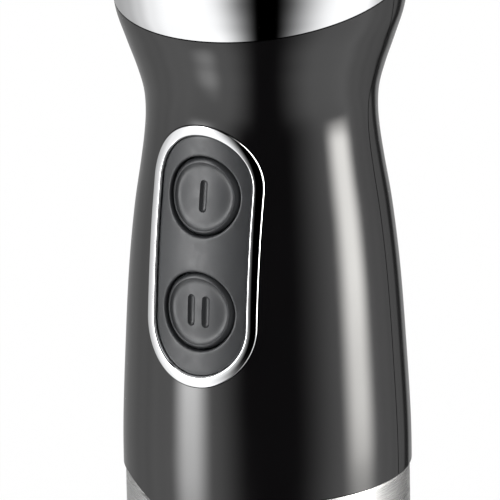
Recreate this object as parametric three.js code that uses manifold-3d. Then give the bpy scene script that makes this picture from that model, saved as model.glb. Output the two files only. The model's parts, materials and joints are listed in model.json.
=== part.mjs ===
// Immersion blender: a motor handle with two buttons on a detachable steel blending foot.
// Millimetres, +Z up, origin on the table under the middle of the bell, front towards -Y.

import * as THREE from 'three';
import { mergeVertices } from 'three/addons/utils/BufferGeometryUtils.js';
import Module from 'manifold-3d';

const wasm = await Module();
wasm.setup();

// ---------------------------------------------------------------- driving dimensions

const GAP = 0.3; // clearance between neighbouring pieces
const TRIM_GAP = 0.2; // finer clearance round the button panel
const ROUND = 24; // facets round the casings
const SMALL_ROUND = 12; // facets round shafts, bushes and other small turned pieces

// Blending foot
const BELL_RADIUS = 33;
const BELL_WALL = 1.6;
const BELL_HEIGHT = 44;
const WINDOW_WIDTH = 18;
const WINDOW_HEIGHT = 9;
const WINDOW_MIDDLE = 12;
const TUBE_RADIUS = 14.5;
const TUBE_WALL = 1.2;
const FOOT_LENGTH = 200; // from the bell's rim to where the motor handle begins
const COLLAR_LENGTH = 18; // straight top of the tube, above its flare
const FLARE_LENGTH = 62;
const SOCKET_DEPTH = 20; // how far the handle's nose reaches into the foot
const SOCKET_RADIUS = 22.8;
const BUSH_RADIUS = 7;
const BUSH_LENGTH = 10.5;

// Blade and shafts
const SHAFT_RADIUS = 2.5;
const BLADE_REACH = 24;
const BLADE_THICKNESS = 1.4;
const BLADE_Z = 13;
const COUPLER_HEX = 4.2; // corner radius of the driven coupler's six-sided end
const COUPLER_LENGTH = 12;

// Handle
const HANDLE_RADIUS = 31; // the plastic's radius where it is widest, above the lower seam
const SLEEVE_STEP = 0.45; // the sleeve is this much slimmer than the plastic
const SLEEVE_WALL = 1.2;
const SLEEVE_HEIGHT = 28; // from the foot to the lower seam, at the sides
const SHELL_WALL = 2.4;
const SPIGOT_WALL = 2;
const LOWER_SEAM_DIP = 6.6; // how far the lower seam sinks at the front
const LOWER_SEAM_SPREAD = THREE.MathUtils.degToRad(47);
const GRIP_LENGTH = 108.5; // between the seams, at the sides
const UPPER_SEAM_TILT = 5.5; // the upper seam is this much lower in front and higher behind
const SPLIT_Y = 2.4; // plane where the front and rear shells meet
const CAP_WALL = 2;
const CAP_HEIGHT = 20.5; // above the upper seam, at the sides
const CAP_FACE = 3.8; // width of the cap's turned-in face

// Button panel
const PANEL_RISE = 53.3; // middle of the panel above the lower seam
const BEZEL_WIDTH = 28;
const BEZEL_HEIGHT = 57.6;
const BEZEL_BAND = 2.3;
const BEZEL_PROUD = 0.3;
const PANEL_RECESS = 1;
const PANEL_FLANGE_THICKNESS = 1.5;
const PANEL_FLANGE_LIP = 2;
const BUTTON_RADIUS = 8.3;
const BUTTON_SPACING = 24.8; // between the middles of the two buttons
const BUTTON_RISE = 0.4; // the pair sits this much above the middle of the panel
const BUTTON_TRAVEL = 1.5;
const MARK_WIDTH = 1.7;
const MARK_LENGTH = 7;
const MARK_SPACING = 3.55;

// Motor
const STATOR_RADIUS = 25;
const STACK_RISE = 24; // bottom of the laminations above the foot
const STATOR_BORE = 14.6;
const STACK_LENGTH = 22;
const COIL_INNER = 17;
const COIL_OUTER = 20.2;
const COIL_OVERHANG = 5.7;
const COIL_HALF_ANGLE = THREE.MathUtils.degToRad(62);
const SHOE_HALF_ANGLE = THREE.MathUtils.degToRad(52);
const NECK_HALF_WIDTH = 8;
const COMMUTATOR_RADIUS = 8.5;
const COMMUTATOR_LENGTH = 9;
const FAN_RADIUS = 19;
const LOWER_BEARING_RADIUS = 8;
const UPPER_BEARING_RADIUS = 6.5;
const BEARING_LENGTH = 5;

// Release
const RELEASE_RADIUS = 4.2;
const RELEASE_RISE = 11.5; // above the foot
const RELEASE_TRAVEL = 2;
const LATCH_WIDTH = 8;
const LATCH_THICKNESS = 1.4;

// Top
const DIAL_RADIUS = 14.5;
const DIAL_HEIGHT = 11;
const DIAL_FLUTES = 14;
const GLAND_RADIUS = 6;
const GLAND_BORE = 4;
const GLAND_Y = 21;

// Screws that join the shells
const SCREW_RADIUS = 1.45;
const SCREW_HEAD_RADIUS = 3;
const SCREW_HEAD_HEIGHT = 2;
const BOSS_RADIUS = 3.6;
const SCREW_RISES = [[20.5, 45], [16, 90]]; // distance from the middle, height above the lower seam

// Places that follow from them
const JOINT_Z = FOOT_LENGTH;
const FLARE_START = JOINT_Z - COLLAR_LENGTH - FLARE_LENGTH;
const SLEEVE_RADIUS = HANDLE_RADIUS - SLEEVE_STEP;
const LOWER_SEAM_Z = JOINT_Z + SLEEVE_HEIGHT;
const UPPER_SEAM_Z = LOWER_SEAM_Z + GRIP_LENGTH;
const CAP_TOP_Z = UPPER_SEAM_Z + CAP_HEIGHT;
const PANEL_MIDDLE_Z = LOWER_SEAM_Z + PANEL_RISE;
const BUTTON_HIGH_Z = PANEL_MIDDLE_Z + BUTTON_RISE - BUTTON_SPACING / 2; // marked II, below
const BUTTON_LOW_Z = PANEL_MIDDLE_Z + BUTTON_RISE + BUTTON_SPACING / 2; // marked I, above
const STACK_BOTTOM = JOINT_Z + STACK_RISE;
const RELEASE_Z = JOINT_Z + RELEASE_RISE;
const SCREW_PLACES = SCREW_RISES.flatMap(([x, rise]) => [-x, x].map((side) => [side, LOWER_SEAM_Z + rise]));

// ---------------------------------------------------------------- solids

// Merges a geometry's shared corners and turns its faces outwards.
function closedGeometry(geometry) {
  const bare = geometry.clone();
  bare.deleteAttribute('normal');
  bare.deleteAttribute('uv');
  const merged = mergeVertices(bare);
  const position = merged.attributes.position;
  const corners = Array.from({ length: position.count }, (_, i) =>
    new THREE.Vector3().fromBufferAttribute(position, i));
  const faces = [];
  let volume = 0;
  for (let i = 0; i < merged.index.count; i += 3) {
    const [a, b, c] = [0, 1, 2].map((k) => merged.index.getX(i + k));
    if (a === b || b === c || c === a) {
      continue;
    }
    faces.push([a, b, c]);
    volume += corners[a].dot(new THREE.Vector3().crossVectors(corners[b], corners[c]));
  }
  const outward = volume > 0 ? faces : faces.map(([a, b, c]) => [a, c, b]);
  merged.setIndex(outward.flat());
  return merged;
}

function solid(geometry) {
  const closed = closedGeometry(geometry);
  const mesh = new wasm.Mesh({
    numProp: 3,
    vertProperties: new Float32Array(closed.attributes.position.array),
    triVerts: new Uint32Array(closed.index.array),
  });
  return new wasm.Manifold(mesh);
}

function geometryOf(manifold) {
  const mesh = manifold.getMesh();
  const geometry = new THREE.BufferGeometry();
  geometry.setAttribute('position', new THREE.BufferAttribute(mesh.vertProperties, 3));
  geometry.setIndex(new THREE.BufferAttribute(mesh.triVerts, 1));
  geometry.computeVertexNormals();
  return geometry;
}

function join(first, ...others) {
  return others.reduce((sum, other) => sum.add(other), first);
}

function cut(first, ...others) {
  return others.reduce((rest, other) => rest.subtract(other), first);
}

// A body of revolution about Z from [radius, z] points, closed to the axis or on itself.
// A radius or a height may be a function of the angle from the front.
function turned(points, segments = ROUND) {
  const value = (entry, angle) => (typeof entry === 'function' ? entry(angle) : entry);
  const closes = points[0][0] !== 0;
  const outline = closes ? [...points, points[0]] : points;
  const lathe = new THREE.LatheGeometry(
    outline.map(([r, z]) => new THREE.Vector2(value(r, 0), value(z, 0))), segments);
  const position = lathe.attributes.position;
  for (let column = 0; column <= segments; column += 1) {
    const angle = ((column % segments) / segments) * Math.PI * 2;
    outline.forEach(([r, z], row) => {
      const radius = value(r, angle);
      position.setXYZ(column * outline.length + row,
        radius * Math.sin(angle), -radius * Math.cos(angle), value(z, angle));
    });
  }
  return solid(lathe);
}

function ring(inner, outer, bottom, top, segments = SMALL_ROUND) {
  return turned([[inner, bottom], [outer, bottom], [outer, top], [inner, top]], segments);
}

function disc(radius, bottom, top, segments = SMALL_ROUND) {
  return turned([[0, bottom], [radius, bottom], [radius, top], [0, top]], segments);
}

function block(low, high) {
  const [width, depth, height] = high.map((value, i) => value - low[i]);
  const box = new THREE.BoxGeometry(width, depth, height);
  box.translate((low[0] + high[0]) / 2, (low[1] + high[1]) / 2, (low[2] + high[2]) / 2);
  return solid(box);
}

// A round bar along Y, from y0 to y1, at a given x and z.
function barAlongY(radius, x, z, y0, y1, segments = SMALL_ROUND) {
  const bar = new THREE.CylinderGeometry(radius, radius, y1 - y0, segments);
  bar.translate(x, (y0 + y1) / 2, 0);
  bar.translate(0, 0, z);
  return solid(bar);
}

// A flat outline in x and z with round ends, pushed from y0 to y1.
function stadiumAlongY(width, height, middleZ, y0, y1, x = 0, steps = 8) {
  const radius = Math.min(width, height) / 2;
  const acrossX = width / 2 - radius;
  const acrossZ = height / 2 - radius;
  const outline = new THREE.Shape();
  if (acrossZ > 0) {
    outline.absarc(0, acrossZ, radius, 0, Math.PI);
    outline.absarc(0, -acrossZ, radius, Math.PI, Math.PI * 2);
  } else {
    outline.absarc(acrossX, 0, radius, -Math.PI / 2, Math.PI / 2);
    outline.absarc(-acrossX, 0, radius, Math.PI / 2, Math.PI * 1.5);
  }
  const prism = new THREE.ExtrudeGeometry(outline,
    { depth: y1 - y0, bevelEnabled: false, curveSegments: steps });
  prism.rotateX(Math.PI / 2);
  prism.translate(x, y1, middleZ);
  return solid(prism);
}

function extruded(shape, bottom, top, steps = 12) {
  const geometry = new THREE.ExtrudeGeometry(shape,
    { depth: top - bottom, bevelEnabled: false, curveSegments: steps });
  geometry.translate(0, 0, bottom);
  return solid(geometry);
}

// A coil spring along Y.
class SpringPath extends THREE.Curve {
  constructor(radius, turns, length) {
    super();
    Object.assign(this, { radius, turns, length });
  }

  getPoint(t, target = new THREE.Vector3()) {
    const angle = t * this.turns * Math.PI * 2;
    return target.set(this.radius * Math.cos(angle), t * this.length, this.radius * Math.sin(angle));
  }
}

function springAlongY(radius, wire, turns, z, y0, y1) {
  const section = new THREE.Shape();
  section.absarc(0, 0, wire / 2, 0, Math.PI * 2);
  const path = new SpringPath(radius - wire / 2, turns, y1 - y0 - wire);
  const geometry = new THREE.ExtrudeGeometry(section,
    { steps: turns * 7, extrudePath: path, curveSegments: 2 });
  geometry.translate(0, y0 + wire / 2, z);
  return solid(geometry);
}

// ---------------------------------------------------------------- handle outline

// [height above the lower seam, distance in from the handle's widest radius]
const OUTLINE = [
  [-7, 0], [8, 0.05], [26, 0.75], [44, 1.9], [58, 3.25], [68, 4.8], [74, 5.6],
  [79.3, 5.95], [84.5, 5.55], [90, 4.3], [96, 2.2], [103, -0.1], [115, -1.4],
].map(([rise, inset]) => [LOWER_SEAM_Z + rise, HANDLE_RADIUS - inset]);

// Radius of the handle's plastic at a height: a smooth curve through the outline's points.
function handleRadius(z) {
  const last = OUTLINE.length - 1;
  const slope = (i) => {
    const before = OUTLINE[Math.max(i - 1, 0)];
    const after = OUTLINE[Math.min(i + 1, last)];
    return (after[1] - before[1]) / (after[0] - before[0]);
  };
  if (z <= OUTLINE[0][0]) {
    return OUTLINE[0][1];
  }
  if (z >= OUTLINE[last][0]) {
    return OUTLINE[last][1];
  }
  const i = OUTLINE.findIndex((point) => point[0] > z) - 1;
  const span = OUTLINE[i + 1][0] - OUTLINE[i][0];
  const t = (z - OUTLINE[i][0]) / span;
  const [start, end] = [OUTLINE[i][1], OUTLINE[i + 1][1]];
  return start * (1 + 2 * t) * (1 - t) ** 2 + end * t * t * (3 - 2 * t)
    + span * t * (1 - t) * (slope(i) * (1 - t) - slope(i + 1) * t);
}

function lowerSeam(angle) {
  const fromFront = Math.min(angle, Math.PI * 2 - angle);
  if (fromFront > LOWER_SEAM_SPREAD) {
    return LOWER_SEAM_Z;
  }
  const dip = (1 + Math.cos((Math.PI * fromFront) / LOWER_SEAM_SPREAD)) / 2;
  return LOWER_SEAM_Z - LOWER_SEAM_DIP * dip;
}

function upperSeam(angle) {
  return UPPER_SEAM_Z - UPPER_SEAM_TILT * Math.cos(angle);
}

// The handle's outer form, grown or shrunk by an offset, between two heights.
function handleForm(offset, bottom, top, rows) {
  const heights = Array.from({ length: rows + 1 }, (_, i) => bottom + ((top - bottom) * i) / rows);
  return turned([
    [0, bottom],
    ...heights.map((z) => [handleRadius(z) + offset, z]),
    [0, top],
  ]);
}

// Points up a wavy wall, from one seam to the other.
function wallBetween(lower, upper, offset, rows) {
  return Array.from({ length: rows + 1 }, (_, i) => {
    const height = (angle) => lower(angle) + ((upper(angle) - lower(angle)) * i) / rows;
    return [(angle) => handleRadius(height(angle)) + offset, height];
  });
}

// ---------------------------------------------------------------- the scene graph

const blender = new THREE.Group();

function material(color, roughness, metalness) {
  return new THREE.MeshStandardMaterial({ color, roughness, metalness });
}

const MATERIALS = {
  glossPlastic: material(0x17171a, 0.14, 0),
  mattPlastic: material(0x35383a, 0.6, 0),
  steel: material(0xc9cacb, 0.28, 1),
  chrome: material(0xf0f0f0, 0.05, 1),
  innerPlastic: material(0x2a2c2f, 0.5, 0),
  bronze: material(0xa87b45, 0.4, 1),
  rubber: material(0x1a1a1a, 0.85, 0),
  lamination: material(0x5d6064, 0.5, 1),
  copper: material(0xb4693a, 0.35, 1),
  carbon: material(0x2b2b2d, 0.7, 0),
  board: material(0x1f5a38, 0.5, 0),
  aluminium: material(0xa9adb1, 0.4, 1),
};

function place(name, shape, finish, parent = blender) {
  const mesh = new THREE.Mesh(geometryOf(shape), MATERIALS[finish]);
  mesh.name = name;
  parent.add(mesh);
  return mesh;
}

// ---------------------------------------------------------------- blending foot

const TUBE_BORE = TUBE_RADIUS - TUBE_WALL;
const NECK_RADIUS = TUBE_BORE - GAP;
const BELL_TOP = BELL_HEIGHT;
const NECK_LENGTH = 8;
const NECK_TOP = BELL_TOP + NECK_LENGTH;
const SHAFT_HOLE = SHAFT_RADIUS + GAP;
const HOUSING_RADIUS = BUSH_RADIUS + 2.4; // the tube's lower bearing housing, which passes through the bell
const SEAL_BOTTOM = BELL_TOP - 10;
const BUSH_BOTTOM = NECK_TOP + 0.5 - BUSH_LENGTH;

function makeBellGuard() {
  const shoulder = NECK_RADIUS + 1.2;
  const innerTop = BELL_TOP - 1 - BELL_WALL * 1.4;
  const outer = [
    [BELL_RADIUS, 0],
    [BELL_RADIUS, 3],
    ...arcPoints(BELL_RADIUS, shoulder, 3, BELL_TOP - 1, 6),
    [shoulder, BELL_TOP - GAP],
    [HOUSING_RADIUS + GAP, BELL_TOP - GAP],
    [HOUSING_RADIUS + GAP, innerTop],
  ];
  const inner = arcPoints(BELL_RADIUS - BELL_WALL, shoulder - 1, 3, innerTop, 6);
  const body = turned([...outer, ...inner.reverse(),
    [BELL_RADIUS - BELL_WALL, 3], [BELL_RADIUS - BELL_WALL, 0]]);
  const windowAlongY = stadiumAlongY(WINDOW_WIDTH, WINDOW_HEIGHT, WINDOW_MIDDLE,
    -BELL_RADIUS - 5, BELL_RADIUS + 5, 0, 4);
  return cut(body, windowAlongY, windowAlongY.rotate([0, 0, 90]));
}

// Points along a quarter ellipse from a wall at the bottom to a shoulder at the top.
function arcPoints(wide, narrow, bottom, top, steps) {
  return Array.from({ length: steps }, (_, i) => {
    const angle = ((i + 1) / steps) * (Math.PI / 2);
    return [narrow + (wide - narrow) * Math.cos(angle), bottom + (top - bottom) * Math.sin(angle)];
  });
}

// Radius of the foot tube: straight, then a smooth flare up to the handle's sleeve.
function tubeRadius(z) {
  const t = THREE.MathUtils.clamp((z - FLARE_START) / FLARE_LENGTH, 0, 1);
  return TUBE_RADIUS + (SLEEVE_RADIUS - TUBE_RADIUS) * t * t * (3 - 2 * t);
}

// The straight tube: a bearing housing reaches down through the bell's top, and a neck carries the collar.
function makeFootTube() {
  return turned([
    [TUBE_RADIUS, BELL_TOP],
    [TUBE_RADIUS, FLARE_START],
    [NECK_RADIUS, FLARE_START],
    [NECK_RADIUS, FLARE_START + NECK_LENGTH],
    [NECK_RADIUS - TUBE_WALL, FLARE_START + NECK_LENGTH],
    [NECK_RADIUS - TUBE_WALL, FLARE_START - 2],
    [TUBE_BORE, FLARE_START - 4],
    [TUBE_BORE, NECK_TOP],
    [BUSH_RADIUS + GAP, NECK_TOP],
    [BUSH_RADIUS + GAP, SEAL_BOTTOM],
    [HOUSING_RADIUS, SEAL_BOTTOM],
    [HOUSING_RADIUS, BELL_TOP],
  ]);
}

function makeFootCollar() {
  const bottom = FLARE_START + GAP;
  const heights = Array.from({ length: 7 }, (_, i) => bottom + ((FLARE_LENGTH - GAP) * i) / 6);
  const levels = [...heights, JOINT_Z];
  const outer = levels.map((z) => [tubeRadius(z), z]);
  const inner = levels.map((z) => [tubeRadius(z) - TUBE_WALL, z]);
  return turned([...outer, ...inner.reverse()]);
}

const SOCKET_FLOOR = JOINT_Z - SOCKET_DEPTH;
const INSERT_RADIUS = SLEEVE_RADIUS - TUBE_WALL - GAP;
const UPPER_BUSH_RADIUS = BUSH_RADIUS - 1;
const UPPER_BUSH_TOP = SOCKET_FLOOR - 1;
const UPPER_BUSH_BOTTOM = UPPER_BUSH_TOP - BUSH_LENGTH - 2;
const LATCH_OUTER_Y = -(SOCKET_RADIUS + LATCH_THICKNESS + RELEASE_TRAVEL);
const LATCH_INNER_Y = LATCH_OUTER_Y + LATCH_THICKNESS;
const LATCH_NOSE = 0.8;
const LATCH_BOTTOM = JOINT_Z - 11;

function makeCouplingInsert() {
  const floorBottom = SOCKET_FLOOR - 4;
  const body = turned([
    [UPPER_BUSH_RADIUS + GAP, UPPER_BUSH_BOTTOM],
    [UPPER_BUSH_RADIUS + 3, UPPER_BUSH_BOTTOM],
    [UPPER_BUSH_RADIUS + 3, floorBottom],
    [tubeRadius(floorBottom) - TUBE_WALL - 2 * GAP, floorBottom],
    [INSERT_RADIUS, SOCKET_FLOOR + 4],
    [INSERT_RADIUS, JOINT_Z - GAP],
    [SOCKET_RADIUS, JOINT_Z - GAP],
    [SOCKET_RADIUS, SOCKET_FLOOR],
    [UPPER_BUSH_RADIUS + GAP, SOCKET_FLOOR],
  ]);
  const pocket = block(
    [-LATCH_WIDTH / 2 - 2 * GAP, LATCH_OUTER_Y - LATCH_NOSE - 2 * GAP, LATCH_BOTTOM - 2],
    [LATCH_WIDTH / 2 + 2 * GAP, -SOCKET_RADIUS + 3, JOINT_Z + 1]);
  return cut(body, pocket);
}

place('bell_guard', makeBellGuard(), 'steel');
place('foot_tube', makeFootTube(), 'steel');
place('foot_collar', makeFootCollar(), 'steel');
place('foot_coupling_insert', makeCouplingInsert(), 'innerPlastic');
place('foot_lower_bush', ring(SHAFT_HOLE, BUSH_RADIUS, BUSH_BOTTOM, BUSH_BOTTOM + BUSH_LENGTH), 'bronze');
place('foot_upper_bush', ring(SHAFT_HOLE, UPPER_BUSH_RADIUS, UPPER_BUSH_BOTTOM, UPPER_BUSH_TOP), 'bronze');
place('shaft_seal', ring(SHAFT_HOLE, BUSH_RADIUS, SEAL_BOTTOM, BUSH_BOTTOM - GAP), 'rubber');

// ---------------------------------------------------------------- blade and drive shaft

const NUT_BOTTOM = BLADE_Z - 5.5;
const CIRCLIP_BOTTOM = UPPER_BUSH_TOP + GAP;
const CIRCLIP_TOP = CIRCLIP_BOTTOM + 1;
const COUPLER_BOTTOM = CIRCLIP_TOP + 0.7;
const COUPLER_SHOULDER = COUPLER_BOTTOM + 3.5;
const COUPLER_TOP = COUPLER_SHOULDER + COUPLER_LENGTH;
const SHAFT_TOP = COUPLER_BOTTOM + 8.5;

// Two swept wings, one bent up and one bent down.
function makeBlade() {
  const wing = (side) => {
    const outline = new THREE.Shape();
    outline.moveTo(-1 * side, 5.2 * side);
    outline.quadraticCurveTo(15 * side, 6.5 * side, BLADE_REACH * side, -1.5 * side);
    outline.lineTo((BLADE_REACH - 1.2) * side, -4 * side);
    outline.quadraticCurveTo(12 * side, -3.2 * side, 1 * side, -5.2 * side);
    return outline;
  };
  const bent = (side) => {
    const geometry = new THREE.ExtrudeGeometry(wing(side),
      { depth: BLADE_THICKNESS, bevelEnabled: false, curveSegments: 6 });
    const position = geometry.attributes.position;
    for (let i = 0; i < position.count; i += 1) {
      const beyond = Math.max(position.getX(i) * side - 6, 0);
      position.setZ(i, position.getZ(i) + BLADE_Z + side * beyond * 0.22);
    }
    return solid(geometry);
  };
  const hub = disc(6, BLADE_Z, BLADE_Z + BLADE_THICKNESS);
  const hole = disc(SHAFT_HOLE, BLADE_Z - 1, BLADE_Z + BLADE_THICKNESS + 1);
  return cut(join(hub, bent(1), bent(-1)), hole);
}

function makeDrivenCoupler() {
  const hub = disc(COUPLER_HEX + 0.9, COUPLER_BOTTOM, COUPLER_SHOULDER);
  const hex = disc(COUPLER_HEX, COUPLER_BOTTOM, COUPLER_TOP, 6);
  return cut(join(hub, hex), disc(SHAFT_HOLE, COUPLER_BOTTOM - 1, SHAFT_TOP + GAP));
}

place('drive_shaft', disc(SHAFT_RADIUS, NUT_BOTTOM + 1.8, SHAFT_TOP), 'steel');
place('driven_coupler', makeDrivenCoupler(), 'innerPlastic');
place('blade', makeBlade(), 'steel');
place('blade_nut', cut(disc(5, NUT_BOTTOM, BLADE_Z - GAP, 6),
  disc(SHAFT_HOLE, NUT_BOTTOM + 1.8 - GAP, BLADE_Z)), 'steel');
place('blade_spacer', ring(SHAFT_HOLE, 4.5, BLADE_Z + BLADE_THICKNESS + GAP, SEAL_BOTTOM - GAP), 'steel');
place('shaft_circlip', ring(SHAFT_HOLE, 4.8, CIRCLIP_BOTTOM, CIRCLIP_TOP), 'steel');

// ---------------------------------------------------------------- handle casing

const SLEEVE_BORE = SLEEVE_RADIUS - SLEEVE_WALL;
const SPIGOT_RADIUS = SLEEVE_BORE - GAP;
const SPIGOT_BOTTOM = LOWER_SEAM_Z - LOWER_SEAM_DIP - 5;
const CAP_RADIUS = handleRadius(CAP_TOP_Z);
const CAP_BORE = CAP_RADIUS - CAP_WALL;
const CAP_MOUTH_RADIUS = CAP_RADIUS - CAP_FACE - 1.6;
const CAP_SPIGOT_RADIUS = CAP_BORE - GAP;
const CROWN_SEAT = CAP_TOP_Z - 8.2;
const CROWN_SHOULDER = CAP_TOP_Z - 5;

function makeSleeve() {
  const top = (angle) => lowerSeam(angle) - GAP;
  const body = turned([
    [SLEEVE_RADIUS, JOINT_Z + GAP],
    [SLEEVE_RADIUS, top],
    [SLEEVE_BORE, top],
    [SLEEVE_BORE, JOINT_Z + GAP],
  ]);
  const hole = barAlongY(RELEASE_RADIUS + GAP, 0, RELEASE_Z, -SLEEVE_RADIUS - 5, -SLEEVE_RADIUS + 8, 18);
  return cut(body, hole);
}

// Both shells in one piece: a wall between the seams, with a spigot inside the sleeve below
// and a spigot inside the cap above.
function makeShells() {
  const outside = wallBetween(lowerSeam, upperSeam, 0, 11);
  const insideFoot = () => LOWER_SEAM_Z + 2;
  const insideHead = (angle) => upperSeam(angle) - 7;
  const inside = wallBetween(insideFoot, insideHead, -SHELL_WALL, 6);
  return turned([
    [SPIGOT_RADIUS, SPIGOT_BOTTOM],
    [SPIGOT_RADIUS, lowerSeam],
    ...outside,
    [CAP_SPIGOT_RADIUS, upperSeam],
    [CAP_SPIGOT_RADIUS, CROWN_SEAT - GAP],
    [CAP_SPIGOT_RADIUS - SPIGOT_WALL, CROWN_SEAT - GAP],
    [CAP_SPIGOT_RADIUS - SPIGOT_WALL, upperSeam],
    ...inside.reverse(),
    [SPIGOT_RADIUS - SPIGOT_WALL, lowerSeam],
    [SPIGOT_RADIUS - SPIGOT_WALL, SPIGOT_BOTTOM],
  ]);
}

function makeCap() {
  const bottom = (angle) => upperSeam(angle) + GAP;
  const shoulder = CAP_RADIUS;
  const rows = wallBetween(bottom, () => CAP_TOP_Z - 12, 0, 4);
  return turned([
    ...rows,
    [shoulder - 0.25, CAP_TOP_Z - 8],
    [shoulder - 1.1, CAP_TOP_Z - 4.6],
    [shoulder - 2.7, CAP_TOP_Z - 1.8],
    [shoulder - 4.3, CAP_TOP_Z - 0.5],
    [CAP_MOUTH_RADIUS + 0.6, CAP_TOP_Z],
    [CAP_MOUTH_RADIUS, CAP_TOP_Z - 0.3],
    [CAP_MOUTH_RADIUS, CROWN_SHOULDER + GAP],
    [CAP_BORE - 0.6, CROWN_SHOULDER + GAP],
    [CAP_BORE, CROWN_SHOULDER - 0.6],
    [CAP_BORE, bottom],
  ]);
}

function makeCrown() {
  const rim = CAP_MOUTH_RADIUS - GAP;
  const body = turned([
    [4, CROWN_SEAT],
    [CAP_BORE - 2 * GAP, CROWN_SEAT],
    [CAP_BORE - 2 * GAP, CROWN_SHOULDER - 1],
    [CAP_BORE - 1.2, CROWN_SHOULDER],
    [rim, CROWN_SHOULDER],
    [rim, CAP_TOP_Z - 0.4],
    [rim - 1, CAP_TOP_Z + 0.2],
    [DIAL_RADIUS + 4, CAP_TOP_Z + 0.8],
    [DIAL_RADIUS + 0.6, CAP_TOP_Z + 0.9],
    [4, CAP_TOP_Z + 0.9],
  ]);
  const glandHole = disc(GLAND_RADIUS + GAP - 1, CROWN_SEAT - 1, CAP_TOP_Z + 4).translate([0, GLAND_Y, 0]);
  return cut(body, glandHole);
}

const shells = makeShells();
const fullForm = handleForm(-0.6, LOWER_SEAM_Z + 8, UPPER_SEAM_Z - 6, 10);
const openingWidth = BEZEL_WIDTH + 2 * TRIM_GAP;
const openingHeight = BEZEL_HEIGHT + 2 * TRIM_GAP;
const panelOpening = stadiumAlongY(openingWidth, openingHeight, PANEL_MIDDLE_Z, -40, -5);
const FAR = 80;
const frontHalf = block([-FAR, -FAR, 0], [FAR, SPLIT_Y - GAP / 2, CAP_TOP_Z]);
const rearHalf = block([-FAR, SPLIT_Y + GAP / 2, 0], [FAR, FAR, CAP_TOP_Z]);

// The seat of a screw's head, set into the rear shell.
function screwSeatY(x, z) {
  return Math.sqrt(handleRadius(z) ** 2 - x ** 2) - 6;
}

function makeFrontShell() {
  const bosses = SCREW_PLACES.map(([x, z]) =>
    barAlongY(BOSS_RADIUS, x, z, -FAR, SPLIT_Y - GAP / 2).intersect(fullForm));
  const pilots = SCREW_PLACES.map(([x, z]) => barAlongY(SCREW_RADIUS + GAP, x, z, -9, SPLIT_Y, 10));
  return cut(join(shells.intersect(frontHalf), ...bosses), panelOpening, ...pilots);
}

function makeRearShell() {
  const bosses = SCREW_PLACES.map(([x, z]) =>
    barAlongY(BOSS_RADIUS, x, z, SPLIT_Y + GAP / 2, FAR).intersect(fullForm));
  const holes = SCREW_PLACES.flatMap(([x, z]) => [
    barAlongY(SCREW_RADIUS + GAP, x, z, SPLIT_Y, FAR, 10),
    barAlongY(SCREW_HEAD_RADIUS + GAP, x, z, screwSeatY(x, z), FAR),
  ]);
  const vents = [-2, -1, 0, 1, 2].map((i) =>
    stadiumAlongY(2.2, 16, LOWER_SEAM_Z + 20, SLEEVE_RADIUS / 2, FAR, i * 5, 2));
  return cut(join(shells.intersect(rearHalf), ...bosses), ...holes, ...vents);
}

place('sleeve', makeSleeve(), 'steel');
place('front_shell', makeFrontShell(), 'glossPlastic');
place('rear_shell', makeRearShell(), 'glossPlastic');
place('chrome_cap', makeCap(), 'chrome');
place('crown', makeCrown(), 'innerPlastic');

// A screw lies along Y with its head behind.
function makeScrew(x, z) {
  const seat = screwSeatY(x, z) + GAP;
  const shank = barAlongY(SCREW_RADIUS, x, z, -8.5, seat + 0.5, 10);
  const head = barAlongY(SCREW_HEAD_RADIUS, x, z, seat, seat + SCREW_HEAD_HEIGHT);
  const slot = block([x - 0.5, seat + 1, z - 2], [x + 0.5, seat + 5, z + 2]);
  const crossSlot = block([x - 2, seat + 1, z - 0.5], [x + 2, seat + 5, z + 0.5]);
  return cut(join(shank, head), slot, crossSlot);
}

SCREW_PLACES.forEach(([x, z], i) => place(`shell_screw_${i + 1}`, makeScrew(x, z), 'steel'));

// ---------------------------------------------------------------- button panel

// Depths below the handle's surface
const FLANGE_FRONT = SHELL_WALL + GAP;
const PANEL_BACK = FLANGE_FRONT + PANEL_FLANGE_THICKNESS;

function panelPrism(width, height) {
  return stadiumAlongY(width, height, PANEL_MIDDLE_Z, -40, -5);
}

function panelForm(offset) {
  return handleForm(offset, PANEL_MIDDLE_Z - 38, PANEL_MIDDLE_Z + 38, 8);
}

// Where a button sits: a point on the panel's face, and how far that face leans back.
function buttonSeat(z) {
  const slope = (handleRadius(z + 2) - handleRadius(z - 2)) / 4;
  return { y: -(handleRadius(z) - PANEL_RECESS), z, lean: Math.atan(-slope) };
}

const lowSeat = buttonSeat(BUTTON_LOW_Z);
const highSeat = buttonSeat(BUTTON_HIGH_Z);

const panelFrame = new THREE.Group();
panelFrame.position.set(0, (lowSeat.y + highSeat.y) / 2, (lowSeat.z + highSeat.z) / 2);
panelFrame.rotation.x = -Math.atan((lowSeat.y - highSeat.y) / (lowSeat.z - highSeat.z));
blender.add(panelFrame);

// A point, solid or radius in the panel's own leaning frame is moved to the object's frame.
function fromPanelFrame(shape) {
  const turn = THREE.MathUtils.radToDeg(panelFrame.rotation.x);
  return shape.rotate([turn, 0, 0]).translate(panelFrame.position.toArray());
}

function fromSeat(shape, seat) {
  return shape.rotate([-THREE.MathUtils.radToDeg(seat.lean), 0, 0]).translate([0, seat.y, seat.z]);
}

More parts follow.
